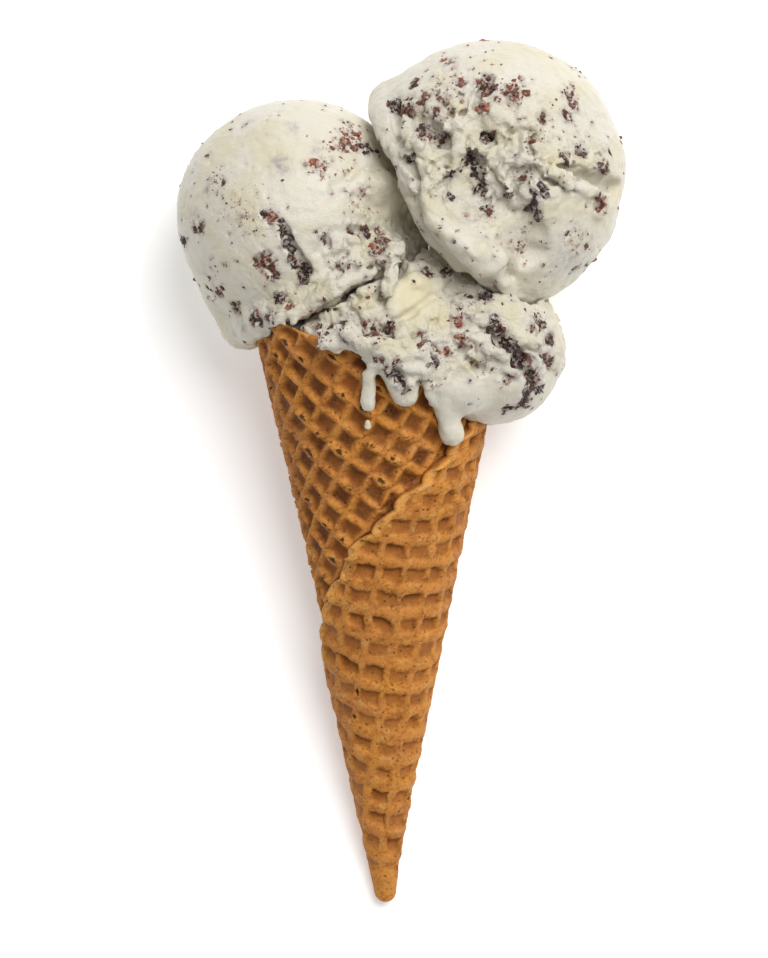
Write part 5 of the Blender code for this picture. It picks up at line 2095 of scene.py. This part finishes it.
LOWER_PATCHES = (
    (4.6, 46.3, 1.0, 2, 2, 1.0, 0.1), (9.3, 45.9, 1.0, 2, 2, 1.0, 0.2), (18.0, 40.4, 1.2, 2, 3, 1.1, 0.1),
    (11.5, 35.4, 1.6, 2, 9, 0.8, 0.8), (12.4, 30.7, 1.4, 2, 7, 0.8, 0.95),
    (19.7, 33.7, 1.3, 3, 3, 1.2, 0.2), (22.4, 31.0, 1.2, 2, 2, 1.4, 0.1), (25.4, 26.7, 1.6, 4, 4, 1.3, 0.1),
    (28.0, 22.6, 1.4, 3, 4, 1.0, 0.25), (29.8, 34.8, 2.0, 4, 8, 0.9, 0.35),
    (31.7, 31.0, 1.8, 4, 5, 1.0, 0.2), (31.0, 26.2, 1.8, 3, 7, 1.0, 0.5), (29.4, 20.0, 1.4, 3, 2, 1.0, 0.1),
    (26.8, 18.2, 1.2, 3, 1, 1.0, 0.1), (22.4, 16.2, 0.7, 2, 0, 1.1, 0.1), (22.2, 22.2, 1.6, 1, 5, 0.7, 0.6),
    (14.9, 26.0, 1.0, 1, 3, 0.7, 0.3), (6.6, 26.1, 1.4, 2, 5, 0.8, 0.1), (4.4, 30.2, 2.4, 1, 12, 0.7, 0.5),
    (3.6, 32.2, 1.0, 1, 3, 0.8, 0.8), (9.0, 28.4, 1.4, 1, 5, 0.8, 0.9), (-1.8, 26.2, 2.4, 2, 5, 0.8, 0.5),
    (-1.1, 23.0, 1.0, 3, 1, 1.1, 0.0), (-4.8, 23.9, 1.0, 2, 2, 1.0, 0.5), (1.0, 20.6, 0.9, 1, 2, 0.9, 0.1),
    (-5.8, 31.6, 2.2, 4, 10, 0.8, 0.4), (-3.0, 33.6, 1.2, 2, 4, 0.9, 0.4),
    (-8.0, 33.2, 2.0, 2, 9, 0.8, 0.6), (-13.6, 33.6, 1.8, 2, 6, 0.9, 0.3),
    (-17.2, 31.2, 1.6, 2, 7, 0.8, 0.5), (-11.5, 30.2, 2.4, 1, 9, 0.7, 0.8),
    (-8.0, 41.0, 2.4, 2, 6, 0.9, 0.6), (6.4, 21.4, 1.2, 0, 5, 0.8, 0.6), (18.0, 27.0, 4.0, 0, 8, 0.6, 0.8),
    (12.0, 40.0, 5.0, 2, 9, 0.7, 0.3),
)
LOWER_CHUNKS = (
    (-1.4, 23.4, 2.8, 0.0), (-0.4, 21.4, 2.0, 0.1), (1.0, 20.2, 1.8, 0.1), (-5.4, 26.2, 1.8, 0.4),
    (18.4, 33.0, 2.4, 0.4), (20.6, 31.6, 2.8, 0.3), (23.0, 29.6, 3.0, 0.2), (24.4, 27.8, 3.0, 0.2),
    (25.4, 25.8, 3.0, 0.15), (26.6, 24.0, 2.8, 0.2), (28.0, 22.0, 2.4, 0.3), (31.6, 31.4, 2.6, 0.3),
    (30.0, 34.4, 2.6, 0.4), (28.2, 33.4, 2.2, 0.5), (31.6, 26.4, 2.4, 0.4), (29.6, 20.4, 2.6, 0.1),
    (27.2, 19.0, 2.4, 0.1), (26.0, 16.9, 2.0, 0.1), (22.4, 16.4, 2.2, 0.1), (12.0, 31.4, 2.2, 0.9),
    (11.6, 34.6, 2.4, 0.8), (-6.4, 32.6, 2.6, 0.3), (-4.2, 32.8, 2.4, 0.3), (-8.8, 34.4, 2.0, 0.5),
    (-13.6, 31.4, 2.2, 0.3), (-16.2, 33.2, 2.2, 0.3), (-18.6, 34.4, 1.8, 0.3), (4.8, 46.2, 2.2, 0.2),
    (9.0, 46.0, 2.2, 0.2), (18.0, 40.4, 2.4, 0.2), (6.6, 26.8, 2.2, 0.2), (-8.0, 41.4, 2.4, 0.6),
    (4.6, 30.4, 2.2, 0.5), (9.2, 28.2, 2.0, 0.8),
)
LOWER_STAINS = (
    (-1.1, 21.2, 3.2, 1.0), (-4.8, 23.9, 1.8, 0.6), (29.0, 21.0, 4.0, 0.6), (26.8, 17.6, 2.2, 0.8),
    (31.0, 31.0, 4.0, 0.5), (20.0, 33.6, 2.0, 0.5), (-17.0, 30.6, 2.4, 0.6), (22.4, 16.3, 1.6, 0.8),
)
# Yellow tint spots on the lower scoop: partly the cream's own tint, partly painted shade on the swirl under
# the left scoop's lip.
LOWER_YELLOW_TINT_AND_SHADE = (
    (2.0, 41.0, 8.5, 1.2), (8.0, 36.0, 6.0, 0.9), (15.0, 25.5, 3.5, 0.9), (-9.0, 40.0, 5.0, 0.9),
    (24.0, 20.0, 3.0, 0.4),
)


def right_scoop() -> RightScoop:
    """Sets out the right scoop with its strands, pits and chips.

    Returns:
        The scoop, not yet built.
    """
    return RightScoop(
        node="scoop_right", piece="cream_right", seed=21, low=(-9.5, 35.0, -1.5), high=(53.0, 101.0, 62.0),
        runs=RIGHT_RUNS, patches=RIGHT_PATCHES, chunks=RIGHT_CHUNKS, stains_and_shade=RIGHT_STAINS_AND_SHADE, yellow_tint_and_shade=RIGHT_YELLOW_TINT_AND_SHADE,
    )


def left_scoop(neighbour: RightScoop, wafer: Wafer) -> LeftScoop:
    """Sets out the left scoop with its steps, lip and chips.

    Args:
        neighbour: The right scoop, which it stays clear of.
        wafer: The cone that it lies on.

    Returns:
        The scoop, not yet built.
    """
    return LeftScoop(
        node="scoop_left", piece="cream_left", seed=22, low=(-53.0, 28.0, -1.5), high=(8.5, 88.5, 55.0),
        neighbour=neighbour, wafer=wafer,
        runs=LEFT_RUNS, patches=LEFT_PATCHES, chunks=LEFT_CHUNKS, stains_and_shade=LEFT_STAINS,
    )


def lower_scoop(right: RightScoop, left: LeftScoop, wafer: Wafer) -> LowerScoop:
    """Sets out the lower scoop with its swirl, torn edge, drips and chips.

    Args:
        right: The right scoop, which lies on it.
        left: The left scoop, which lies on it.
        wafer: The cone that it fills.

    Returns:
        The scoop, not yet built.
    """
    return LowerScoop(
        node="scoop_lower", piece="cream_lower", seed=23, low=(-31.0, -77.5, 1.5), high=(39.0, 56.0, 60.0),
        step=0.46 * MM, right=right, left=left, wafer=wafer, scatter=110, strewn_from=16.0 * MM,
        runs=LOWER_RUNS, patches=LOWER_PATCHES, chunks=LOWER_CHUNKS, stains_and_shade=LOWER_STAINS, yellow_tint_and_shade=LOWER_YELLOW_TINT_AND_SHADE,
    )


@dataclass
class FallenDrop:
    """The small drop of cream that fell onto the wafer below the first drip."""

    cone: Cone
    turn: float = math.radians(-7.0)
    reach: float = 129.0 * MM
    lift: float = -0.5 * MM
    length: float = 0.9 * MM
    radii: tuple[float, float] = (0.5 * MM, 0.85 * MM)

    def build(self) -> bpy.types.Object:
        """Makes the drop's mesh, standing on the wafer.

        Returns:
            The new object.
        """
        ends = self.cone.place(np.full(2, self.turn), np.array([self.reach + self.length, self.reach]),
                               np.full(2, self.lift))
        block = Block(ends.min(axis=0) - 1.2 * MM, ends.max(axis=0) + 1.2 * MM, 0.13 * MM)
        noise = Noise(9)
        block.fill(lambda points: rod(points, *ends, *self.radii) + 0.12 * MM * noise.at(points, 0.9 * MM), 1)
        made = block.skin().to_object("cream_drop")
        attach(made, "root")
        REPORT.info("cream_drop: %d faces", len(made.data.polygons))
        return made


def main() -> None:
    """Builds every piece in order."""
    logging.basicConfig(level=logging.INFO, format="%(message)s")
    cone = Cone()
    wafer = Wafer(cone, Noise(7))
    shell = wafer.build().to_object("wafer_cone")
    shell.data.materials.append(WaferFinish().material())
    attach(shell, "root")
    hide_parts("cone")
    REPORT.info("wafer_cone: %d points", len(shell.data.vertices))
    right = right_scoop()
    left = left_scoop(right, wafer)
    lower = lower_scoop(right, left, wafer)
    cream = CreamFinish().material()
    chips: list[Chip] = []
    for scoop in (right, left, lower):
        made = scoop.build()
        made.data.materials.append(cream)
        chips += scoop.chips
    FallenDrop(cone).build().data.materials.append(cream)
    chocolate = Chocolate(chips)
    finish = ChocolateFinish().material()
    for kind in ChipKind:
        chocolate.build(kind).data.materials.append(finish)
    Studio().build()


if __name__ == "__main__":
    main()
